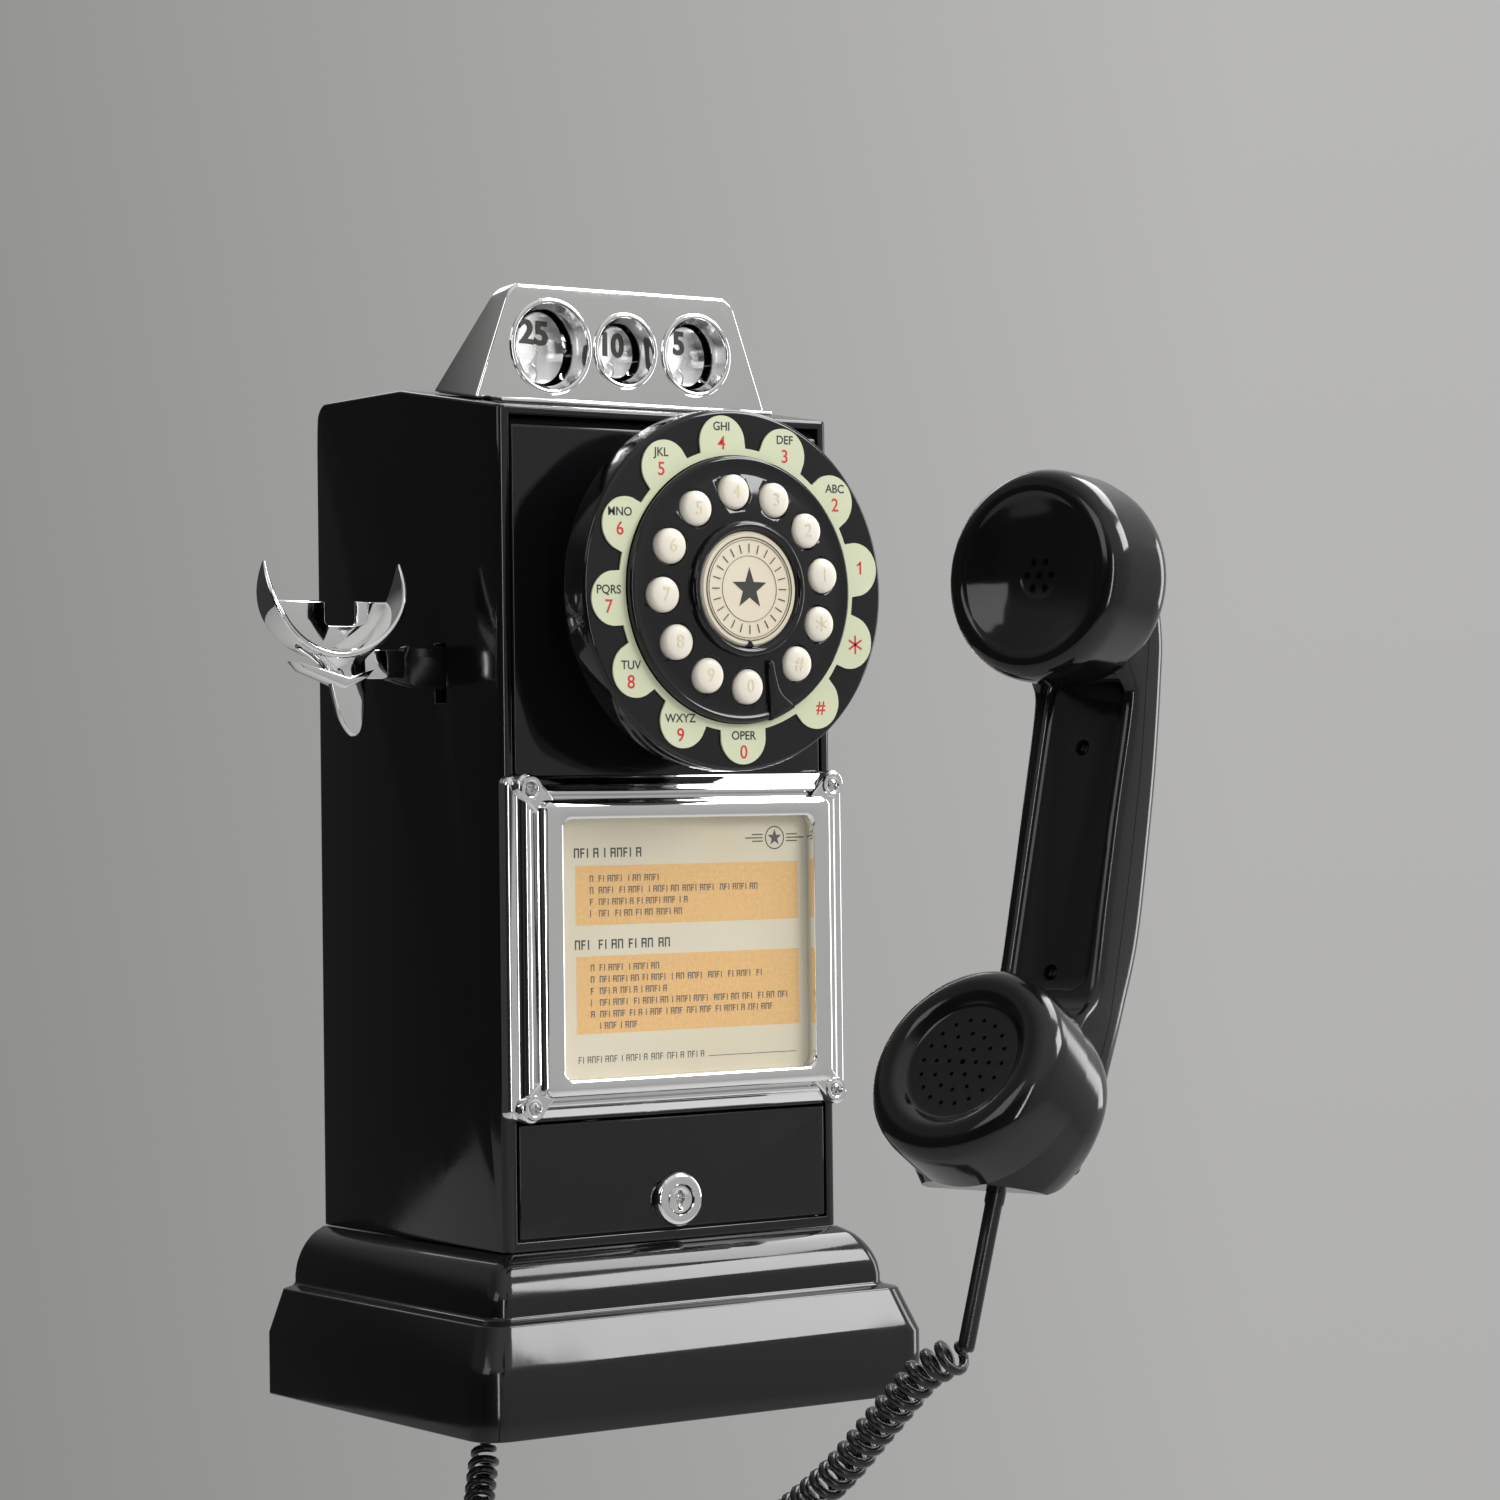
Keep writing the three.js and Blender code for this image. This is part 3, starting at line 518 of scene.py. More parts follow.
# ---------------------------------------------------------------- handset frame
HANDSET_AT = (-128.5, -522.0, 248.2)
HANDSET_TURN = -74.6
HANDSET_LEAN = -15.2
CAP_SPACING = 160
EAR_TILT = 10
MOUTH_TILT = -18
HANDSET = PHONE @ placed(HANDSET_AT, HANDSET_TURN, "Z") @ placed((0, 0, 0), HANDSET_LEAN, "X")
EAR = placed((0, 0, CAP_SPACING / 2), EAR_TILT, "X")
MOUTH = placed((0, 0, -CAP_SPACING / 2), MOUTH_TILT, "X")


# ---------------------------------------------------------------- cord
CORD_ROUTE = [
    (-62, -100, -3.9), (-63.5, -100.8, -11), (-70, -107, -25), (-83, -124, -43), (-99, -151, -57),
    (-116, -184, -65), (-131, -223, -66), (-143, -266, -61), (-152, -311, -50), (-159, -357, -34),
    (-163, -402, -13), (-164, -442, 10), (-161, -475, 32), (-156.5, -493, 50), (-153.5, -504, 61.5),
    (-151, -511.5, 69.5), (-148.5, -517, 73.2), (-146.3, -521.4, 75.6), (-144.6, -524.6, 77.1),
]
CORD_DIAMETER = 3.2
COIL_RADIUS = 4.9
COIL_PITCH = 5.6
COIL_RUN_IN = 12
LEAD_RUN_IN = 4
STEPS_PER_TURN = 16
CORD_SIDES = 10
LEAD_TOP = Vector((0, 31, -117))
LEAD_END = Vector((-1.8, 29.2, -169.4))
# Each station along the lead: share of its length, radius.
LEAD_STATIONS = [
    (0, 3.2), (0.08, 3.2), (0.1, 2.8), (0.3, 2.75), (0.5, 2.75), (0.7, 2.75), (0.97, 2.75), (0.99, 2.6),
    (1, 2.1),
]


def even_line(points, step):
    """Points a fixed step apart along a smooth line, with the distance to each."""
    dense = smooth_line(points, 40)
    travelled = [0.0]
    for a, b in zip(dense, dense[1:]):
        travelled.append(travelled[-1] + (b - a).length)
    count = max(2, round(travelled[-1] / step))
    line, k = [], 0
    for i in range(count + 1):
        want = travelled[-1] * i / count
        while k < len(dense) - 2 and travelled[k + 1] < want:
            k += 1
        share = (want - travelled[k]) / max(1e-9, travelled[k + 1] - travelled[k])
        line.append((dense[k].lerp(dense[k + 1], min(1, share)), want))
    return line


def carried_frames(line):
    """A direction and two square vectors at each point, carried along without twist."""
    side = Vector((1, 0, 0))
    frames = []
    for i, point in enumerate(line):
        ahead = (line[min(i + 1, len(line) - 1)] - line[max(i - 1, 0)]).normalized()
        side = (side - ahead * side.dot(ahead)).normalized()
        frames.append((point, ahead, side, ahead.cross(side)))
    return frames


def tube(name, line, radii, sides):
    """A closed tube along a line of points, with a radius for each point."""
    rings = []
    for (point, _, u, v), r in zip(carried_frames(line), radii):
        turns = (2 * math.pi * k / sides for k in range(sides))
        rings.append([point + (u * math.cos(a) + v * math.sin(a)) * r for a in turns])
    return loft(name, rings)


def coil_path():
    """The wire's centreline: straight at both ends and wound round the route between them."""
    spaced = even_line(CORD_ROUTE, COIL_PITCH / STEPS_PER_TURN)
    total = spaced[-1][1]
    frames = carried_frames([p for p, _ in spaced])
    path = []
    for (point, _, u, v), (_, gone) in zip(frames, spaced):
        started = max(0.0, (gone - COIL_RUN_IN * 0.4) / COIL_RUN_IN)
        grown = min(1.0, started, (total - gone) / LEAD_RUN_IN)
        swell = COIL_RADIUS * grown * grown * (3 - 2 * grown)
        a = 2 * math.pi * gone / COIL_PITCH
        path.append(point + (u * math.cos(a) + v * math.sin(a)) * swell)
    return path


def make_lead():
    """The straight, thicker part of the cord below the handset."""
    line = [LEAD_TOP.lerp(LEAD_END, share) for share, _ in LEAD_STATIONS]
    lead = tube("handset_lead_sleeve", line, [radius for _, radius in LEAD_STATIONS], 20)
    return place(lead, CORD_BLACK, "handset", ["handset_lead"], HANDSET)


def make_handset_plug():
    """The clear modular plug, with its latch, inside the handset's lower end."""
    plug_body = block("plug", -4.4, 4.4, 28, 34, -115.6, -107.4)
    latch = block("latch", -1.5, 1.5, 33.8, 34.8, -118.6, -109)
    plug = rounded(joined("handset_plug_clear", [plug_body, latch]), 0.3, 2)
    return place(plug, PLUG, "handset", ["handset_plug"], HANDSET)


def make_cord():
    """The coiled wire between the phone and the handset, with all that hangs on it."""
    path = coil_path()
    cord = tube("curly_cord_wire", path, [CORD_DIAMETER / 2] * len(path), CORD_SIDES)
    moved(cord, PHONE)
    cord.data.shade_smooth()
    cord.data.materials.append(CORD_BLACK)
    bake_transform(cord)
    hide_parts("curly_cord")
    make_lead()
    make_handset_plug()


make_cord()


# ---------------------------------------------------------------- housing
WALL = 4
SHELL_LOW, SHELL_HIGH = span("housing_shell")
BODY_HALF = SHELL_HIGH.x
BODY_FRONT = SHELL_LOW.y
BODY_BOTTOM = SHELL_LOW.z
TOP_REAR = SHELL_HIGH.z
TOP_FRONT = 412.3
TOP_KINK = -71
CARD_HALF = 62
CARD_BOTTOM = 139.8
CARD_TOP = 244.6
FRONT_MOUTH_FOOT = 74.4
FRONT_MOUTH_MARGIN = 1.2
WALL_HOLE_X = 50
WALL_HOLE_HEIGHTS = (130, 360)
WALL_HOLE_R = 5
DOOR_KNUCKLE_Z = 98
CORD_HOLE_Y = -100


def top_height(y):
    """The height of the housing's top, which slopes down in front of its kink."""
    if y >= TOP_KINK:
        return TOP_REAR
    return TOP_REAR - (TOP_KINK - y) * (TOP_REAR - TOP_FRONT) / (TOP_KINK - BODY_FRONT)


def housing_side(inset):
    """The housing's outline in y and z, moved inward by inset."""
    top, back = TOP_REAR - inset, -inset if inset else 0
    front = BODY_FRONT + inset
    return [
        (back, BODY_BOTTOM + inset), *arc(back - 8, top - 8, 8, 8, 0, 90, 8), (TOP_KINK, top),
        (front, top_height(front) - inset), (front, BODY_BOTTOM + inset),
    ]


def make_housing():
    shell = prism("housing", housing_side(0), -BODY_HALF, BODY_HALF, "x")
    round_edges(
        shell, 3.5, 6,
        lambda m, d: abs(d.z) > 0.99 and m.y < BODY_FRONT + 1 and abs(abs(m.x) - BODY_HALF) < 0.1,
    )
    round_edges(shell, 1.3, 4, lambda m, d: m.z > TOP_FRONT - 6 and top_edge(m, d))
    inner = prism("inner", housing_side(WALL), WALL - BODY_HALF, BODY_HALF - WALL, "x")
    panel_low, panel_high = span("front_panel")
    left, right = panel_low.x - FRONT_MOUTH_MARGIN, panel_high.x + FRONT_MOUTH_MARGIN
    mouth = block("mouth", left, right, -160, -100, FRONT_MOUTH_FOOT, panel_high.z + FRONT_MOUTH_MARGIN)
    rear = block("rear", WALL - BODY_HALF, BODY_HALF - WALL, -10, 10, 74.3, TOP_REAR - 12.3)
    slot = block("slot", -90, -70, -106.2, -96.8, 293, 317.4)
    chute = block("chute", -50, 50, -102, -84, 400, 440)
    combine(shell, inner, mouth, rear, slot, chute)
    rounded(shell, 0.5, 2, 50)
    place(shell, BLACK, "root", ["housing_shell"])


def top_edge(middle, direction):
    """True for the edges between the top and the sides or the front."""
    on_top = abs(middle.z - top_height(middle.y)) < 0.6 or middle.y > -8.5
    along_front = abs(direction.z) < 0.3 and middle.y < BODY_FRONT + 4
    along_side = abs(middle.x) > BODY_HALF - 0.1
    return on_top and (along_side or along_front) and not (abs(direction.x) > 0.9 and middle.y > TOP_KINK - 1)


def make_front_panel():
    low, high = span("front_panel")
    panel = block("front_cover", low.x, high.x, BODY_FRONT, high.y, low.z, high.z)
    round_edges(panel, 3.6, 1, lambda m, d: m.z > high.z - 0.1 and m.y < BODY_FRONT + 0.1)
    round_edges(panel, 3, 5, lambda m, d: abs(d.y) > 0.9 and m.z > high.z - 5)
    rounded(panel, 0.7, 3, 25)
    bed = block("bed", 1 - CARD_HALF, CARD_HALF - 1, low.y, BODY_FRONT + 1, CARD_BOTTOM + 1, CARD_TOP - 1)
    combine(panel, bed, how="UNION")
    place(panel, BLACK, "root", ["front_panel"])


def make_coin_door():
    low, high = span("coin_door")
    door = block("door", low.x, high.x, BODY_FRONT, BODY_FRONT + WALL, low.z, high.z)
    rounded(door, 0.8, 3)
    pin_low, pin_high = span("door_hinge_pin")
    pin = (pin_low + pin_high) / 2
    upright = placed((pin.x, pin.y, DOOR_KNUCKLE_Z), 90, "X")
    knuckle = moved(rod("knuckle", 3, -18, 18), upright)
    bore = moved(rod("bore", 1.5, -40, 40), upright)
    lock_low, lock_high = span("lock_body")
    hole = rod("hole", 9.3, -160, -130, (0, (lock_low.z + lock_high.z) / 2))
    combine(door, knuckle, how="UNION")
    combine(door, bore, hole)
    place(door, BLACK, "door", ["coin_door"])


# How far the base stands out from the housing, and at what height.
BASE_PROFILE = [(28.2, 0), (28.2, 26.5), (27, 29.5), (21, 44.5), (16.5, 45.6), (15.2, 46.8), (15.2, 50)]
OVOLO = [(15.2, 50), (14.1, 55.5), (11.2, 61.5), (6.6, 66.7), (1, 70)]


def plan_ring(half, front, radius, z, steps=10):
    """A level ring, square at the wall and round at the two front corners."""
    left = arc(-half + radius, front + radius, radius, radius, 180, 270, steps)
    right = arc(half - radius, front + radius, radius, radius, 270, 360, steps)
    return [(x, y, z) for x, y in [(half, 0), (-half, 0), *left, *right]]


def make_base():
    levels = BASE_PROFILE + curve(OVOLO, 5)[1:]
    rings = [plan_ring(BODY_HALF + out, BODY_FRONT - out, 3 + out * 0.35, z) for out, z in levels]
    base = loft("base", rings)
    rounded(base, 0.7, 3, 28)
    jack_low, jack_high = span("phone_plug")
    x, y = (jack_low.x + jack_high.x) / 2, CORD_HOLE_Y
    hollow = block("hollow", -76, 76, -142, -6, 4, 90)
    hole = block("hole", x - 8, x + 8, y - 7, y + 7, -1, 6)
    combine(base, hollow, hole)
    place(base, BLACK, "root", ["base_moulding"], smooth=35)


def make_back_plate():
    low, high = span("back_plate")
    plate = prism("wall_plate", rectangle(low.x, high.x, low.z, high.z, 3), low.y, high.y)
    rounded(plate, 0.5, 2)
    for x in (-WALL_HOLE_X, WALL_HOLE_X):
        for z in WALL_HOLE_HEIGHTS:
            combine(plate, rod("hole", WALL_HOLE_R, -10, 10, (x, z)))
    ribs = []
    for x in (-25, 0, 25):
        rib = prism("rib", rectangle(x - 3, x + 3, 115, 380, 2.9), low.y - 1, low.y + 0.5)
        ribs.append(rounded(rib, 0.5, 2))
    joined("wall_plate", [plate, *ribs])
    place(plate, STEEL, "root", ["back_plate"])


make_housing()
make_front_panel()
make_coin_door()
make_base()
make_back_plate()


# ---------------------------------------------------------------- coin head
HEAD_FRONT = -116.2
HEAD_TOP = span("coin_head")[1].z
HEAD_FLANGE_FRONT = -128.6
HEAD_FLANGE_BACK = -114
COIN_Z = 441
# Each coin's number, the x of its hole, and the radii of the rim and of the hole.
COINS = [("25", -36, 19.3, 16.0), ("10", 1, 15.3, 12.0), ("5", 37, 17.0, 13.8)]
# The x and z of a number on its gauge, and how much it is widened.
COIN_MARKS = {"25": (-4.2, 5.6, 1.36), "10": (-3.4, 2.4, 1.2), "5": (-5.0, 4.8, 1.15)}
COIN_MARK_SIZE = 13.6
GAUGE_TURN = 17


def head_side(inset):
    """The coin head's outline in y and z."""
    foot = 0.3 + inset
    return [
        (HEAD_FRONT + inset, top_height(HEAD_FRONT) + foot), (HEAD_FRONT + inset, HEAD_TOP - inset),
        (-105.5, HEAD_TOP - inset), (-78.5 - inset * 1.6, top_height(-78.5) + foot),
    ]


def head_face(inset):
    """The coin head's outline in x and z."""
    top = HEAD_TOP + 0.5 - inset
    right = [(76 - inset, 410), *arc(48.5 - inset, top - 9, 9.6, 9, 12, 90, 8)]
    return right + [(-x, z) for x, z in reversed(right)]


def make_coin_head():
    head = prism("coin_head_cover", head_side(0), -80, 80, "x")
    combine(head, prism("face", head_face(0), -140, -60), how="INTERSECT")
    rounded(head, 1.5, 4, 28)
    inner = prism("inner", head_side(3), -80, 80, "x")
    combine(inner, prism("face", head_face(3.5), -140, -60), how="INTERSECT")
    combine(head, inner, block("throat", -48, 48, -101, -88, 414, 430))
    for _, x, rim, bore in COINS:
        cone = [(0, -118), (rim + 0.4, -118), (rim + 0.4, -115.9), (bore, -112), (bore, -108), (0, -108)]
        combine(head, lathe("cone", cone, (x, COIN_Z)))
    place(head, SATIN, "root", ["coin_head"])
    front, back = HEAD_FLANGE_FRONT, HEAD_FLANGE_BACK
    flange = prism("flange", [
        (front, top_height(front) + 0.3), (front, top_height(front) + 2), (back, top_height(back) + 2.4),
        (back, top_height(back) + 0.3),
    ], -68, 68, "x")
    rounded(flange, 0.6, 3)
    place(flange, CHROME, "root")
    flange.name = "coin_head_flange"


def make_coin_rim(label, x, rim, bore):
    """The bright ring round a coin hole, and the wall of the hole behind it."""
    front = HEAD_FRONT
    ring = lathe(f"coin_rim_{label}", [
        (rim + 0.9, front - 0.1), *arc(rim - 0.3, front - 0.1, 1.2, 0.9, 0, -180, 8), (bore + 0.2, front + 4),
        (bore, front + 5), (bore, front + 13), (bore + 1, front + 13), (bore + 1, front + 5),
        (rim + 0.2, front + 0.6),
    ], (x, COIN_Z))
    place(ring, CHROME, "root")


def make_coin_gauge(label, x, bore):
    """The slanted disc that a coin slides in beside, with its number and a thumb notch."""
    radius = bore - 1.0
    disc = lathe(f"gauge_{label}", [(0, -1), (radius - 0.4, -1), (radius, -0.6), (radius, 1), (0, 1)])
    notch = rod("notch", radius * 0.27, -2, -0.35, (-radius * 0.42, -radius * 0.72))
    combine(disc, notch)
    rounded(disc, 0.15, 2, 50)
    disc.data.materials.append(FROSTED)
    mark_x, mark_z, wide = COIN_MARKS[label]
    mark = words("mark", [(label, 0, 0, COIN_MARK_SIZE)], -1.0, 0.3, 0.45)
    moved(mark, Matrix.Translation((mark_x, 0, mark_z)) @ Matrix.Diagonal((wide, 1, 1, 1)))
    mark.data.materials.append(DARK_INK)
    middle = HEAD_FRONT + 3.6 + radius * math.sin(math.radians(GAUGE_TURN))
    gauge = moved(joined(f"gauge_{label}", [disc, mark]), placed((x - 1, middle, COIN_Z), GAUGE_TURN, "Z"))
    place(gauge, None, "root", [f"coin_gauge_{label}"])


make_coin_head()
for coin_label, coin_x, coin_rim, coin_bore in COINS:
    make_coin_rim(coin_label, coin_x, coin_rim, coin_bore)
    make_coin_gauge(coin_label, coin_x, coin_bore)


# ---------------------------------------------------------------- dial
DISC_LOW, DISC_HIGH = span("dial_disc")
DIAL_Z = (DISC_LOW.z + DISC_HIGH.z) / 2
DIAL_R = DISC_HIGH.x
DIAL_FRONT = DISC_LOW.y
DIAL_BACK = DISC_HIGH.y
DOME_R = 54
BUTTON_RING_R = 39.3
BUTTON_R = 7.15
BUTTON_STEP = 29.2
BUTTONS = ["4", "3", "2", "1", "star", "hash", "0", "9", "8", "7", "6", "5"]
LETTERS = {
    "2": "ABC", "3": "DEF", "4": "GHI", "5": "JKL", "6": "MNO", "7": "PQRS", "8": "TUV", "9": "WXYZ",
    "0": "OPER",
}
SIGNS = {"hash": "#"}
LABEL_RING_R = 62.6


def button_angle(i):
    """A button's angle from the top, to the right; the finger stop takes the gap after the sixth."""
    extra = 360 - 12 * BUTTON_STEP if i >= 6 else 0
    return math.radians(-6.6 + i * BUTTON_STEP + extra)


def dial_point(angle, radius):
    return math.sin(angle) * radius, DIAL_Z + math.cos(angle) * radius


def dome_height(r):
    return DIAL_FRONT - 2.6 - 6 * (1 - (min(r, DOME_R) / DOME_R) ** 2)


def make_dial_body():
    neck_low, neck_high = span("dial_neck")
    neck = lathe("dial_stem", [
        (16, neck_low.y), (50, neck_low.y), (44, neck_high.y - 14),
        *curve([(46, -171), (43.4, -162), (43, -154.5), (45, neck_high.y)], 6), (16, neck_high.y),
    ], (0, DIAL_Z))
    place(neck, BLACK, "root", ["dial_neck"])
    disc = lathe("dial_plate", [
        (12, DIAL_BACK), *arc(DIAL_R - 2, DIAL_BACK - 2, 2, 2, 90, 0, 5),
        *arc(DIAL_R - 2, DIAL_FRONT + 2, 2, 2, 0, -90, 6), (51, DIAL_FRONT), (51, DIAL_BACK - 3),
        (12, DIAL_BACK - 3),
    ], (0, DIAL_Z), 160)
    place(disc, BLACK, "root", ["dial_disc"])


def plate_radius(angle):
    """The number plate's edge: a ring with a round tab behind each button."""
    ring, tab, at = 57.4, 11, 59.6
    best = ring
    for i in range(len(BUTTONS)):
        off = angle - button_angle(i)
        reach = tab * tab - (at * math.sin(off)) ** 2
        if math.cos(off) > 0 and reach > 0:
            best = max(best, at * math.cos(off) + math.sqrt(reach))
    return best


def burst(name, x, z, reach, half, y0, y1):
    """Three crossed bars: an asterisk."""
    bars = []
    for turn in (0, 60, 120):
        bar = block("bar", -half, half, y0, y1, -reach, reach)
        bars.append(moved(bar, placed((x, 0, z), turn)))
    return joined(name, bars)


def make_number_plate():
    low, high = span("number_plate")
    steps = 900
    outline = [dial_point(a, plate_radius(a)) for a in (2 * math.pi * i / steps for i in range(steps))]
    plate = prism("number_ring", outline, low.y, high.y)
    combine(plate, rod("hole", DOME_R + 0.4, -205, -190, (0, DIAL_Z), 160))
    place(plate, GREEN, "root", ["number_plate"], smooth=25)
    numbers, letters = [], []
    for i, key in enumerate(BUTTONS):
        x, z = dial_point(button_angle(i), LABEL_RING_R)
        if key in LETTERS:
            numbers.append((key, x, z - 3.3, 7.6))
            letters.append((LETTERS[key], x, z + 3.5, 4.9))
        elif key == "star":
            asterisk = burst("asterisk", x, z, 3.8, 0.42, low.y - 0.06, low.y + 0.1)
        else:
            numbers.append((SIGNS.get(key, key), x, z, 7.6))
    x, z = dial_point(button_angle(BUTTONS.index("1")), LABEL_RING_R)
    outline = [(x - 1.9, z + 0.9), (x - 1.9, z + 1.6), (x, z + 2.7), (x, z + 1.8)]
    flag = prism("flag", outline, low.y - 0.06, low.y + 0.1)
    figures = joined("dial_numbers", [words("figures", numbers, low.y, 0.06, 0.07), asterisk, flag])
    place(figures, RED_INK, "root")
    place(words("dial_letters", letters, low.y, 0.06, 0.07), DARK_INK, "root")


def make_dome():
    seat = DIAL_FRONT - 0.3
    crown = [(r, dome_height(r)) for r in (50, 46, 42, 38, 34, 31, 28)]
    dome = lathe("dial_cover", [
        (0, dome_height(28)), *reversed(crown), *arc(52.4, -199.9, 1.6, 1.4, -110, 0, 6), (DOME_R, seat),
        (50.5, seat), (50.5, dome_height(44) + 2.6), (28, dome_height(28) + 2.4), (0, dome_height(28) + 2.4),
    ], (0, DIAL_Z), 160)
    centres = [dial_point(button_angle(i), BUTTON_RING_R) for i in range(len(BUTTONS))]
    combine(dome, joined("holes", [rod("hole", BUTTON_R + 0.45, -230, -190, centre) for centre in centres]))
    rounded(dome, 0.35, 2, 50)
    place(dome, BLACK, "root", ["dial_dome"])


def make_button(i):
    key = BUTTONS[i]
    x, z = dial_point(button_angle(i), BUTTON_RING_R)
    face = span(f"button_{key}")[0].y
    cap = lathe(f"key_{key}", [
        (0, face), (2.6, face + 0.06), (4.3, face + 0.25),
        *arc(BUTTON_R - 2.3, face + 2.7, 2.3, 2.3, -72, 0, 7), (BUTTON_R, -193), (0, -193),
    ], (x, z), 48)
    cap.data.materials.append(IVORY)
    if key == "star":
        mark = burst("mark", x, z, 2.9, 0.3, face - 0.1, face + 0.3)
    else:
        mark = words("mark", [(SIGNS.get(key, key), x, z, 7.4)], face + 0.16, 0.26)
    mark.data.materials.append(IVORY_MARK)
    both = joined(f"key_{key}", [cap, mark])
    place(both, None, f"key_{key}", [f"button_{key}"])


BADGE_STAR = (5, 8.6, 3.5)


def star(points, outer, inner):
    """The outline of a star around the dial's centre."""
    outline = []
    for i in range(points * 2):
        a, r = math.pi * i / points, outer if i % 2 == 0 else inner
        outline.append((math.sin(a) * r, DIAL_Z + math.cos(a) * r))
    return outline


def make_badge():
    y = span("badge_ring")[1].y
    ring = lathe("badge_rim", [
        (27.4, y), (27.4, y - 1.4), *arc(25.6, y - 1.4, 1.8, 1.8, 0, -180, 10), (23.5, y - 1.2), (23.5, y),
    ], (0, DIAL_Z), 128)
    place(ring, BLACK, "root", ["badge_ring"])
    face = span("badge")[0].y
    profile = [(0, face), (22.4, face + 0.2), (23.2, face + 0.9), (23.2, y), (0, y)]
    disc = lathe("badge_disc", profile, (0, DIAL_Z), 128)
    place(disc, LABEL, "root", ["badge"])
    thickness = 0.05
    lines = []
    for radius, width in ((20.6, 0.35), (19.7, 0.15), (13.2, 0.15)):
        lines.append(lathe("line", [
            (radius, face + 0.1), (radius, face + 0.1 - thickness - 0.1), (radius + width, face - thickness),
            (radius + width, face + 0.1),
        ], (0, DIAL_Z), 96))
    for turn in range(0, 360, 15):
        outline = [(-0.18, 14.6), (0.18, 14.6), (0.18, 18.2), (-0.18, 18.2)]
        tick = prism("tick", outline, face - thickness, face + 0.1)
        lines.append(moved(tick, placed((0, 0, DIAL_Z), turn)))
    lines.append(prism("star", star(*BADGE_STAR), face - thickness - 0.02, face + 0.1))
    place(joined("badge_print", lines), DARK_INK, "root")
    rim, tip = DIAL_Z - 23.4, DIAL_Z - 20.6
    notch = prism("badge_notch", [(-1.8, rim), (1.8, rim), (0.3, tip), (-0.3, tip)], face - 0.4, face + 1.5)
    rounded(notch, 0.2, 2)
    place(notch, BLACK, "root")


# The blade's outline in x and z from the dial's centre.
FINGER_STOP = [
    (9.6, -29.6), (10.9, -28.6), (12.4, -29.6), (14.2, -35), (17.5, -41.5), (24.6, -46.6), (24.2, -48.4),
    (14.6, -52.6), (13.2, -51.4), (11.6, -41),
]


def make_finger_stop():
    """A curved black blade that stands on the dome between two buttons."""
    outline = curve(FINGER_STOP + FINGER_STOP[:1], 4)[:-1]
    blade = rounded(prism("finger_blade", outline, -2.6, 1.2), 0.9, 3, 60)

    def follow_dome(bm):
        for v in bm.verts:
            v.co.y += dome_height(math.hypot(v.co.x, v.co.z)) + 0.4

    edit(blade, follow_dome)
    moved(blade, Matrix.Translation((0, 0, DIAL_Z)))
    place(blade, BLACK, "root", ["finger_stop"], smooth=60)


make_dial_body()
make_number_plate()
make_dome()
for button_index in range(len(BUTTONS)):
    make_button(button_index)
make_badge()
make_finger_stop()


# ---------------------------------------------------------------- instruction card
FRAME_LOW, FRAME_HIGH = span("card_frame")
SCREWS = [(-75, 257.4), (75, 257.4), (-75, 129), (75, 129)]
# Each step of the moulding, inward: margin outside the opening, height, corner radius.
FRAME_STEPS = [
    (22, 0.3, 4), (22, 3.6, 4), (21.5, 4.9, 4), (20.3, 5.6, 4), (17.6, 5.6, 4), (16.2, 6.4, 4),
    (15.5, 8.0, 4), (14.9, 9.0, 4), (13.9, 9.4, 4), (12.7, 9.2, 4), (12.1, 8.2, 4), (11.6, 7.4, 4),
    (10.6, 7.4, 4), (10.0, 8.4, 4), (9.6, 12.4, 4), (9.1, 13.9, 4), (7.9, 14.6, 4), (1.6, 14.6, 4.4),
    (0.5, 14.1, 4.8), (0, 13.0, 5), (0, 6.2, 5), (2.9, 6.2, 4), (2.9, 0.3, 4),
]


def frame_ring(margin, proud, radius):
    """A ring of the frame's moulding; its margins above and below differ from those at the sides."""
    share = margin / FRAME_STEPS[0][0]
    low = CARD_BOTTOM + (FRAME_LOW.z - CARD_BOTTOM) * share
    high = CARD_TOP + (FRAME_HIGH.z - CARD_TOP) * share
    half = CARD_HALF + margin
    return [(x, BODY_FRONT - proud, z) for x, z in rectangle(-half, half, low, high, radius)]


def make_card_frame():
    moulding = loft("frame_moulding", [frame_ring(*step) for step in FRAME_STEPS], closed=True)
    straps = []
    for x, z in SCREWS:
        side, up = math.copysign(1, x), 1 if z > 200 else -1
        strap = prism("strap", rectangle(-13.5, 6.6, -5.2, 5.2, 5.1, 10), -10.4, -0.6)
        rounded(strap, 1.3, 4)
        boss = lathe("boss", [
            (0, -8.8), (2.9, -8.8), (2.9, -10.9), (3.3, -11.2), (4.7, -11.2), (5.1, -10.6), (5.1, -9), (0, -8),
        ])
        corner = joined("strap", [strap, boss])
        moved(corner, placed((x, BODY_FRONT, z), -math.degrees(math.atan2(up, side))))
        straps.append(corner)
    both = joined("frame_moulding", [moulding, *straps])
    place(both, CHROME, "root", ["card_frame"])


def make_frame_screw(i):
    x, z = SCREWS[i]
    head = BODY_FRONT - 9.6
    screw = lathe(f"cover_screw_{i + 1}", [
        (0, head - 2.0), (1.6, head - 1.9), *arc(1.4, head - 0.2, 1.5, 1.5, -70, 0, 5), (2.9, head),
        (1.6, head + 0.2), (1.6, head + 6), (0, head + 6),
    ], (0, 0), 32)
    cut_cross(screw, 0.4, 1.9, head - 4, head - 1.0, 20 + 35 * i)
    moved(screw, Matrix.Translation((x, 0, z)))
    place(screw, STEEL, "root", [f"frame_screw_{i + 1}"])


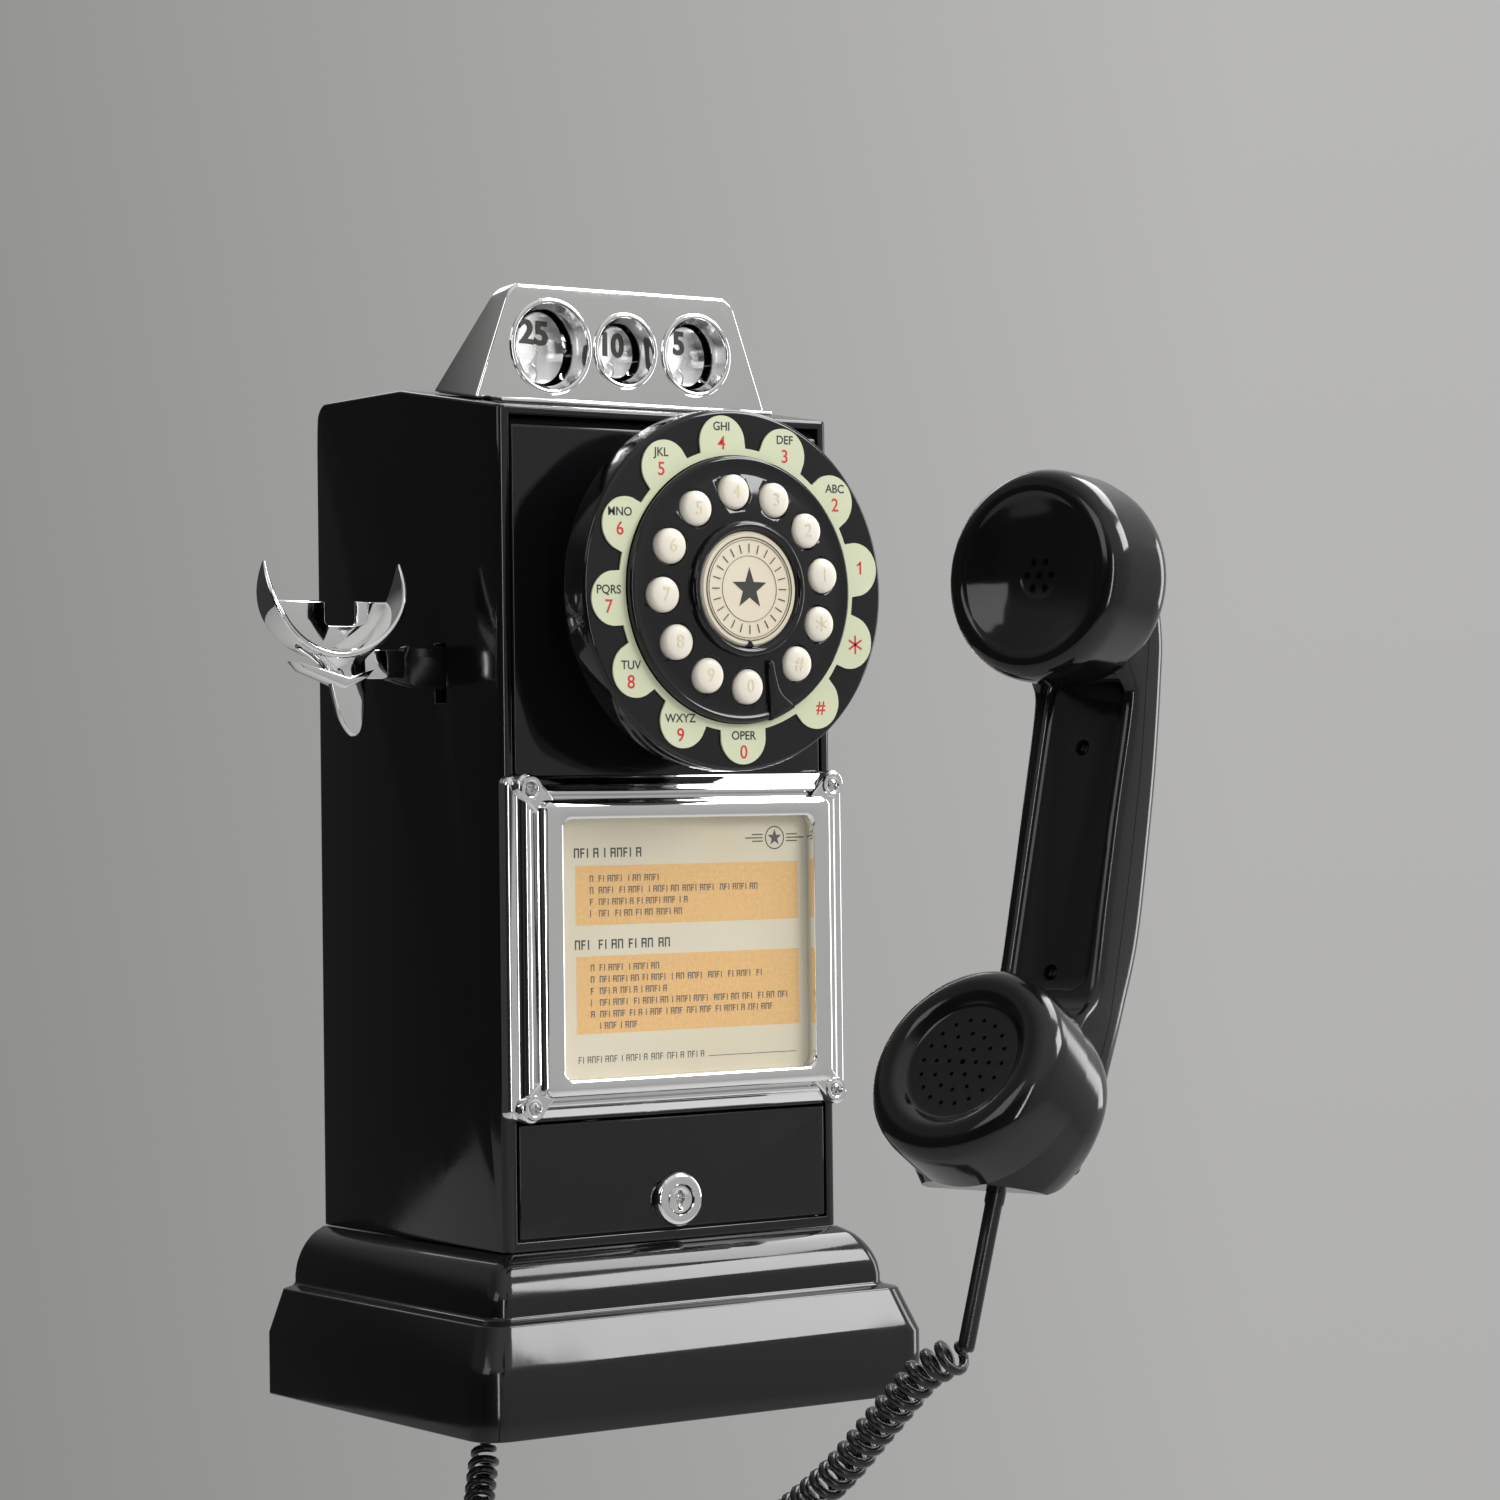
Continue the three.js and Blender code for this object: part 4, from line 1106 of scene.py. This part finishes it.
def bar_of(x0, x1, z, height, y):
    """A printed bar that lies on the card."""
    return block("bar", x0, x1, y - 0.05, y + 0.02, z - height / 2, z + height / 2)


def card_x(share):
    """A place across the printed card, from the left edge that shows to the right."""
    return 3.7 - CARD_HALF + share * 2 * CARD_HALF


def card_z(share):
    """A place down the printed card, from the top edge that shows."""
    return CARD_TOP - share * (CARD_TOP - CARD_BOTTOM)


# Each line of small print: how far down the card it is, and how far across it ends.
CARD_LINES = [
    (0.23, 0.40), (0.275, 0.79), (0.32, 0.48), (0.365, 0.48),
    (0.575, 0.40), (0.62, 0.79), (0.665, 0.39), (0.71, 0.89), (0.755, 0.83), (0.80, 0.28),
]
WORD_LENGTHS = (14, 9, 17, 6, 12, 19, 8, 15)


def make_card_print():
    """Generic printing: two tan panels with rows of strokes, a heading over each and a line to fill in."""
    y = span("card")[0].y
    tan = [
        block("panel", card_x(0.04), card_x(0.935), y - 0.04, y + 0.02, card_z(low), card_z(high))
        for low, high in ((0.41, 0.18), (0.83, 0.53))
    ]
    place(joined("card_panels", tan), TAN_INK, "root")
    strokes = []
    for k, (down, end) in enumerate(CARD_LINES):
        if k != len(CARD_LINES) - 1:
            word_strokes(strokes, card_x(0.095), 1.6, card_z(down), y - 0.04, 2.7, 0.5)
        print_line(strokes, 0.13, end, down, y - 0.04, 2.7, 0.48, k)
    place(joined("card_lines", strokes), BROWN_INK, "root")
    heads = []
    print_line(heads, 0.035, 0.32, 0.13, y, 3.9, 0.68, 1)
    print_line(heads, 0.035, 0.42, 0.485, y, 3.9, 0.68, 3)
    print_line(heads, 0.045, 0.54, 0.93, y, 2.7, 0.36, 5)
    heads.append(bar_of(card_x(0.56), card_x(0.92), card_z(0.94), 0.25, y))
    mark_x, mark_z = card_x(0.84), card_z(0.085)
    for side in (-1, 1):
        for rise in (-1.4, 0, 1.4):
            inner, outer = mark_x + side * 6, mark_x + side * (15 - abs(rise) * 2.5)
            heads.append(bar_of(min(inner, outer), max(inner, outer), mark_z + rise, 0.5, y))
    ring = [(4.4, y), (4.4, y - 0.06), (4.9, y - 0.06), (4.9, y)]
    heads.append(lathe("seal", ring, (mark_x, mark_z), 48))
    emblem = [(mark_x + a * 0.42, mark_z + (b - DIAL_Z) * 0.42) for a, b in star(*BADGE_STAR)]
    heads.append(prism("seal_star", emblem, y - 0.06, y))
    place(joined("card_headings", heads), DARK_INK, "root")


def print_line(parts, start, end, down, y, height, stroke, seed):
    """Fills a line of the card with words of varying length."""
    x, stop = card_x(start), card_x(end)
    k = seed
    while x < stop - height:
        length = min(WORD_LENGTHS[k % len(WORD_LENGTHS)] * height / 2.7, stop - x)
        x = word_strokes(parts, x, length, card_z(down), y, height, stroke)
        k += 3


def word_strokes(parts, x, length, z, y, height, stroke):
    """A row of upright ticks, bowls and crossbars that reads as a blurred word but spells nothing."""
    step = height * 0.8
    count = max(1, round(length / step))
    for k in range(count):
        left = x + k * step
        kind = (k * 7 + count * 3 + round(abs(z))) % 4
        parts.append(bar_of(left, left + stroke, z, height, y))
        if kind != 1:
            parts.append(bar_of(left, left + step * 0.66, z + height / 2 - stroke / 2, stroke, y))
        if kind in (0, 2):
            parts.append(bar_of(left, left + step * 0.6, z, stroke, y))
        if kind in (0, 3):
            parts.append(bar_of(left + step * 0.6, left + step * 0.6 + stroke, z, height, y))
    return x + count * step + height * 0.55


make_card_frame()
for screw_index in range(len(SCREWS)):
    make_frame_screw(screw_index)
make_card_print()


# ---------------------------------------------------------------- lock
def make_lock():
    low, high = span("lock_body")
    z = (low.z + high.z) / 2
    front = low.y
    seat = BODY_FRONT - 0.3
    body = lathe("lock_case", [
        (6.25, front + 0.4), (6.6, front), (8.0, front), *arc(8.6, front + 1.8, 2.6, 1.8, -90, 0, 6),
        (11.2, seat), (9, seat), (9, -122), (6.25, -122),
    ], (0, z), 64)
    place(body, CHROME, "door", ["lock_body"])
    face, back = (corner.y for corner in span("lock_plug"))
    plug = lathe("lock_barrel", [
        (0, face + 0.5), (3.6, face + 0.5), (4.4, face), (5.5, face), (5.9, face + 0.4), (5.9, back), (0, back),
    ], (0, z), 64)
    slot = block("slot", -1.0, 1.0, -160, -146, z - 4.4, z + 3.6)
    combine(slot, rod("round", 2.5, -160, -146, (0, z + 0.6)), how="UNION")
    combine(plug, slot)
    rounded(plug, 0.12, 2, 50)
    place(plug, CHROME, "lock", ["lock_plug"])


make_lock()


# ---------------------------------------------------------------- hook
HOOK_X = -134.7
HOOK_Y = -105
HOOK_BOTTOM = 310.6
HOOK_R = 32.3
HOOK_ARM_Z = 307.5
HOOK_LEAN = 12
HOOK_TAPER = 46
FORK_STEPS = 80
# Each level of the throat: height over the fork's foot, x of its middle, half width, half depth.
THROAT_LEVELS = [(4, 1, 19, 7), (1, 2, 14, 6.4), (-2, 3, 10.5, 5.4), (-5, 4.5, 9, 5), (-9, 6, 9.5, 5.4)]
# The tongue's outline in x and z, from the middle of the fork's foot.
TONGUE = [
    (-9, 1), (-7.5, -8), (-3.5, -22), (0.5, -29), (4, -31.4), (7.2, -29), (9, -20), (9.5, -8), (9.2, 2),
]


def fork_ring(angle):
    """A section across the fork: wide and thick below, narrowing to a point at either tip."""
    to_tip = min(angle + 180 + HOOK_LEAN, HOOK_LEAN - angle)
    share = max(0.0, min(1.0, to_tip / HOOK_TAPER))
    depth = 0.6 + 7.9 * math.sin(share * math.pi / 2)
    thick = 1.1 + 1.9 * math.sqrt(share)
    corner = min(1.2, thick * 0.45, depth * 0.8)
    a = math.radians(angle)
    outline = rectangle(HOOK_R - thick, HOOK_R, HOOK_Y - depth, HOOK_Y + depth, corner, 4)
    return [(HOOK_X + r * math.cos(a), y, HOOK_BOTTOM + HOOK_R + r * math.sin(a)) for r, y in outline]


def fork_wall():
    """The low wall across the back of the fork, with its notch."""
    z = HOOK_BOTTOM + HOOK_R
    drop = HOOK_R - 23.8
    tilt = math.degrees(math.asin(drop / (HOOK_R - 1)))
    bowl = arc(HOOK_X, z, HOOK_R - 1, HOOK_R - 1, 180 + tilt, 360 - tilt, 40)
    wall = prism("back", bowl, HOOK_Y + 5.8, HOOK_Y + 8.4)
    notch = prism("notch", rectangle(HOOK_X, HOOK_X + 14.6, HOOK_BOTTOM + 14, HOOK_BOTTOM + 50, 2), -110, -90)
    combine(wall, notch)
    return rounded(wall, 0.7, 3, 50)


def fork_throat():
    """The waisted boss under the fork."""
    rings = []
    for z, middle, half, deep in THROAT_LEVELS:
        turns = (2 * math.pi * i / 32 for i in range(32))
        rings.append([
            (HOOK_X + middle + half * math.cos(a), HOOK_Y + deep * math.sin(a), HOOK_BOTTOM + z) for a in turns
        ])
    return loft("throat", rings)


def make_hook_fork():
    """The chrome cradle: the fork, the wall across its back, and what joins it to the lever."""
    angles = [-180 - HOOK_LEAN + (180 + 2 * HOOK_LEAN) * i / FORK_STEPS for i in range(FORK_STEPS + 1)]
    fork = loft("hook_fork", [fork_ring(a) for a in angles])
    middle = HOOK_X + 4
    outline = curve([(middle + x, HOOK_BOTTOM + z) for x, z in TONGUE], 5)
    tongue = rounded(prism("tongue", outline, HOOK_Y - 3.4, HOOK_Y - 0.4), 1.0, 4, 40)
    flange = prism("flange", [
        (HOOK_X - 20, HOOK_BOTTOM - 1), (HOOK_X - 16, HOOK_BOTTOM - 5), (HOOK_X + 2, HOOK_BOTTOM - 12),
        (HOOK_X + 12, HOOK_BOTTOM - 8), (HOOK_X + 16, HOOK_BOTTOM - 4), (HOOK_X + 4, HOOK_BOTTOM - 7.5),
    ], HOOK_Y - 6.5, HOOK_Y + 3)
    rounded(flange, 0.6, 2, 30)
    boss = block("boss", middle + 4, -103, HOOK_Y - 3, HOOK_Y - 0.3, HOOK_ARM_Z - 5, HOOK_ARM_Z + 7)
    rounded(boss, 0.6, 2)
    parts = [fork, fork_wall(), fork_throat(), tongue, flange, boss]
    place(joined("hook_fork", parts), CHROME, "hook", ["hook_cradle"])


def make_hook_lever():
    arm_low, arm_high = span("hook_arm")
    outline = [
        (arm_low.x, HOOK_ARM_Z - 5), (-96, arm_low.z), (-72, arm_low.z), (-48, HOOK_ARM_Z - 6),
        (-48, HOOK_ARM_Z + 6), (-72, arm_high.z), (-100, arm_high.z), (-101.6, HOOK_ARM_Z + 5),
    ]
    arm = prism("hook_lever", outline, arm_low.y, arm_high.y)
    rounded(arm, 1.4, 4)
    combine(arm, rod("hole", 3.3, -120, -90, (-60, HOOK_ARM_Z)))
    place(arm, BLACK, "hook", ["hook_arm"])


make_hook_fork()
make_hook_lever()


# ---------------------------------------------------------------- handset
CAP_R = 35
CAP_DEPTH = 22
HANDLE_FOOT = -118.4
HANDLE_LENGTH = 215.4
HANDLE_STEPS = 90
MOUTH_STRETCH = 1.2
SHELL_GAP = 0.15
# The grip by height: how far back its back and front are, and half its width.
BACK_LINE = [
    (-118.4, 52), (-107, 53.5), (-90, 57), (-77, 58.5), (-58, 61.5), (-38, 65.5), (-21, 66.6), (8, 65.2),
    (33, 62.8), (60, 58.5), (74, 55), (97, 44),
]
FRONT_LINE = [
    (-118.4, 26), (-100, 26), (-80, 24), (-60, 34), (-49, 41.2), (-20, 41.2), (10, 40.5), (46, 39.8), (54, 36),
    (66, 26), (97, 22),
]
WIDTH_LINE = [
    (-118.4, 18.5), (-104, 19.5), (-85, 21), (-60, 21.5), (-40, 20.7), (0, 20.3), (40, 20.6), (97, 21.5),
]
GRIP_SCREWS = (33, -43)
BOTTOM_CUT = [(-20, -118.4), (26, -118.4), (49, -107), (80, -91.6), (80, 130), (-40, 130), (-40, -118.4)]
# The seam between the shells, in y and z.
SEAM_LINE = [(38, 140), (40, 90), (44, 60), (49, 25), (51, -15), (50, -55), (44, -90), (40, -140)]


def reading(points, at):
    """The value at one place of a smooth line through (place, value) points."""
    line = smooth_line(points, 10)
    for a, b in zip(line, line[1:]):
        if a.x <= at <= b.x:
            return a.y + (b.y - a.y) * (at - a.x) / max(1e-9, b.x - a.x)
    return line[-1].y if at > line[-1].x else line[0].y


def handle_section(z):
    """A level section of the grip: small corners in front, large ones behind."""
    front, back, half = (reading(line, z) for line in (FRONT_LINE, BACK_LINE, WIDTH_LINE))
    small, large = 3.5, min(8.5, (back - front) * 0.45)
    outline = (
        arc(half - small, front + small, small, small, -90, 0, 6)
        + arc(half - large, back - large, large, large, 0, 90, 10)
        + arc(-half + large, back - large, large, large, 90, 180, 10)
        + arc(-half + small, front + small, small, small, 180, 270, 6)
    )
    return [(x, y, z) for x, y in outline]


def drum(name, bowl, stretch=1.0):
    """The round housing behind a cap, closed like a bowl; stretch lengthens its lower half."""
    seat = CAP_DEPTH + 0.3
    obj = lathe(name, [(0, seat), *[(r, seat + y) for r, y in bowl], (0, seat + bowl[-1][1])], (0, 0), 112)

    def lengthen(bm):
        for v in bm.verts:
            if v.co.z < 0:
                v.co.z *= 1 + (stretch - 1) * min(1, max(0, (v.co.y - seat - 1) / 10))

    return edit(obj, lengthen)


# Each drum's profile behind its seat: radius, depth.
EAR_BOWL = [(34.2, 0), (34.2, 2.5), *arc(0, 3, 34.2, 20.5, 0, 86, 16)]
MOUTH_BOWL = [
    (34.2, 0),
    *curve([(34.2, 6), (33.8, 12), (32.2, 17.5), (28.5, 22), (22, 24.6), (12, 25.6), (1, 25.9)], 5),
]


def grip_tray():
    """The shallow tray in the front of the grip, with coved walls."""
    rings = []
    for y, margin in ((43.4, -3.2), (43.2, -2.0), (42.6, -1.0), (41.8, -0.3), (40.8, 0.2), (30, 0.6)):
        outline = rectangle(-16.6 - margin, 16.6 + margin, -50 - margin, 58 + margin, 7.5 + margin, 10)
        rings.append([(x, y, z) for x, z in outline])
    return loft("tray", rings)


def handset_skin():
    """The handset's outside in one piece: the grip with its tray, and both drums."""
    heights = [HANDLE_FOOT + HANDLE_LENGTH * i / HANDLE_STEPS for i in range(HANDLE_STEPS + 1)]
    skin = loft("skin", [handle_section(z) for z in heights])
    combine(skin, grip_tray())
    ear = moved(drum("ear", EAR_BOWL), EAR)
    mouth = moved(drum("mouth", MOUTH_BOWL, MOUTH_STRETCH), MOUTH)
    combine(skin, ear, mouth, how="UNION")
    combine(skin, prism("room", BOTTOM_CUT, -60, 60, "x"), how="INTERSECT")
    return skin


def make_handset_shells():
    """Splits the skin along the seam into a front and a rear shell."""
    skin = handset_skin()
    seam = curve(SEAM_LINE, 6)
    rear = prism("rear", [(y + SHELL_GAP, z) for y, z in seam] + [(90, -140), (90, 140)], -60, 60, "x")
    fore = prism("fore", [(y - SHELL_GAP, z) for y, z in seam] + [(-60, -140), (-60, 140)], -60, 60, "x")
    back = skin.copy()
    back.data = skin.data.copy()
    back.name = "handset_rear_shell"
    bpy.context.scene.collection.objects.link(back)
    combine(back, rear, how="INTERSECT")
    combine(skin, fore, how="INTERSECT")
    socket = block("socket", -5, 5, 26.4, 35.4, -130, -104)
    holes = [rod("hole", 2.7, 25, 48.5, (0, z), 32) for z in GRIP_SCREWS]
    combine(skin, socket, joined("holes", holes))
    skin.name = "handset_front_shell"
    place(skin, BLACK_HANDSET, "handset", ["handset_front"], HANDSET, smooth=28)
    place(back, BLACK_HANDSET, "handset", ["handset_back"], HANDSET, smooth=28)


def cap_back():
    """The hidden side of both caps' profiles."""
    return [(CAP_R, 9), (CAP_R, CAP_DEPTH - 0.4), (CAP_R - 0.4, CAP_DEPTH), (31.5, CAP_DEPTH), (31.5, 12)]


def hole_grid(rings, radius, depth):
    """Rods for rings of holes; each ring is (radius, count)."""
    holes = []
    for ring_radius, count in rings:
        for i in range(count):
            a = 2 * math.pi * (i + 0.5 * (count % 2)) / count
            centre = (ring_radius * math.cos(a), ring_radius * math.sin(a))
            holes.append(rod("hole", radius, -3, depth, centre, 16))
    return joined("holes", holes)


def make_ear_cap():
    face = curve([(7.2, 5.9), (12, 5.2), (18, 3.7), (23.5, 1.7), (25.6, 0.9)], 5)
    rim = curve([(25.6, 0.9), (27.2, 0.1), (29.2, 0), (31.6, 0.9), (33.6, 3), (34.7, 6), (CAP_R, 9)], 4)
    profile = [(0, 6.1), (6.6, 6.1), *face, *rim[1:-1], *cap_back(), (27, 7.8), (0, 7.8)]
    cap = lathe("ear_piece", profile, (0, 0), 128)
    combine(cap, hole_grid([(0, 1), (4.8, 6)], 1.2, 9))
    place(moved(cap, EAR), BLACK_HANDSET, "handset", ["ear_cap"], HANDSET, smooth=32)


def make_mouth_cap():
    rim = curve([
        (20.6, 3.0), (22.2, 1.6), (24.2, 0.4), (26.6, 0), (29.4, 0.5), (32.2, 2.2), (34.3, 5.2), (CAP_R, 9),
    ], 4)
    profile = [(0, 3.3), (19.6, 3.3), *rim[:-1], *cap_back(), (27, 6.4), (0, 6.4)]
    cap = lathe("mouth_piece", profile, (0, 0), 128)
    combine(cap, hole_grid([(5.2, 6), (10.2, 12), (15.2, 18)], 0.75, 8), rod("middle", 1.0, -3, 8, (0, 0), 20))
    place(moved(cap, MOUTH), BLACK_HANDSET, "handset", ["mouth_cap"], HANDSET, smooth=32)


def make_handset_screws():
    for k, z in enumerate(GRIP_SCREWS):
        profile = [(0, 44.6), (1.2, 44.4), (2.2, 45.2), (2.2, 47.5), (0, 47.5)]
        screw = lathe(f"grip_screw_{k + 1}", profile, (0, z), 24)
        cut_cross(screw, 0.35, 1.4, 40, 45.2, 15, z)
        place(screw, OXIDE, "handset", to=HANDSET)


make_handset_shells()
make_ear_cap()
make_mouth_cap()
make_handset_screws()


# ---------------------------------------------------------------- floor and light
def make_floor():
    steps = 96
    verts = [(0, 0, FLOOR_Z)]
    for i in range(steps):
        a = 2 * math.pi * i / steps
        verts.append((FLOOR_RADIUS * math.cos(a), FLOOR_RADIUS * math.sin(a), FLOOR_Z))
    floor = new_piece("floor", verts, [(0, i + 1, (i + 1) % steps + 1) for i in range(steps)])
    s = Surface("floor_paint", (0.55, 0.55, 0.55), 0.7)
    s.blend_color(s.noise(3, 4), (0.53, 0.53, 0.53), (0.57, 0.57, 0.57))
    floor.data.materials.append(s.material)


def soft_light(name, at, target, width, height, radiance):
    """A rectangular light that the camera doesn't see."""
    data = bpy.data.lights.new(name, "AREA")
    data.shape = "RECTANGLE"
    data.size = width
    data.size_y = height
    data.energy = radiance * math.pi * width * height
    light = bpy.data.objects.new(name, data)
    light.location = at
    aim = (Vector(target) - Vector(at)).to_track_quat("-Z", "Y")
    light.rotation_euler = aim.to_euler()
    light.visible_camera = False
    bpy.context.scene.collection.objects.link(light)


def make_world():
    """A grey room: lighter in front on the right and overhead, darker in front on the left."""
    world = bpy.data.worlds.new("room")
    bpy.context.scene.world = world
    world.use_nodes = True
    nodes, links = world.node_tree.nodes, world.node_tree.links

    def math_node(kind, a, b):
        node = nodes.new("ShaderNodeMath")
        node.operation = kind
        for k, value in enumerate((a, b)):
            if isinstance(value, (int, float)):
                node.inputs[k].default_value = value
            else:
                links.new(value, node.inputs[k])
        return node.outputs[0]

    def facing(direction):
        node = nodes.new("ShaderNodeVectorMath")
        node.operation = "DOT_PRODUCT"
        links.new(nodes["way"].outputs["Generated"], node.inputs[0])
        node.inputs[1].default_value = direction
        return node.outputs["Value"]

    def ramp(value, low, high, first, second, kind="LINEAR"):
        node = nodes.new("ShaderNodeMapRange")
        node.interpolation_type = kind
        for key, number in (("From Min", low), ("From Max", high), ("To Min", first), ("To Max", second)):
            node.inputs[key].default_value = number
        links.new(value, node.inputs["Value"])
        return node.outputs["Result"]

    way = nodes.new("ShaderNodeTexCoord")
    way.name = "way"
    across = ramp(facing((0.817, -0.577, 0)), -0.6, 0.12, 0.04, 0.45)
    rise = ramp(facing((0, 0, 1)), -0.9, 0.9, 0.75, 1.3)
    shade = ramp(facing(Vector((-0.75, -0.66, -0.05)).normalized()), 0.70, 0.93, 1.0, 0.15, "SMOOTHSTEP")
    above = ramp(facing((0, 0, 1)), 0.24, 0.5, 0, 0.17, "SMOOTHSTEP")
    glow = math_node("MULTIPLY", math_node("ADD", math_node("MULTIPLY", across, rise), above), shade)
    links.new(glow, nodes["Background"].inputs["Strength"])
    nodes["Background"].inputs["Color"].default_value = (1.0, 0.99, 0.98, 1)


make_floor()
make_world()
soft_light("key", (1.5, -1.7, 1.3), (0, -0.1, 0.0), 1.0, 0.85, 10.8)
soft_light("overhead", (1.2, -0.3, 1.7), (0, -0.2, 0.1), 1.5, 0.8, 7.5)
soft_light("fill", (-1.9, -0.9, 1.1), (-0.1, -0.3, 0.1), 0.9, 0.9, 1.8)
soft_light("window", (-0.95, -2.4, 0.15), (0, -0.3, 0.0), 0.16, 1.5, 10)
soft_light("side", (1.9, -0.5, 0.25), (0, -0.4, 0.0), 0.5, 1.1, 4)
soft_light("rear", (0.6, 2.2, 1.6), (0, 0, 0.1), 1.4, 0.8, 2.0)
bpy.context.scene.view_settings.view_transform = "Standard"
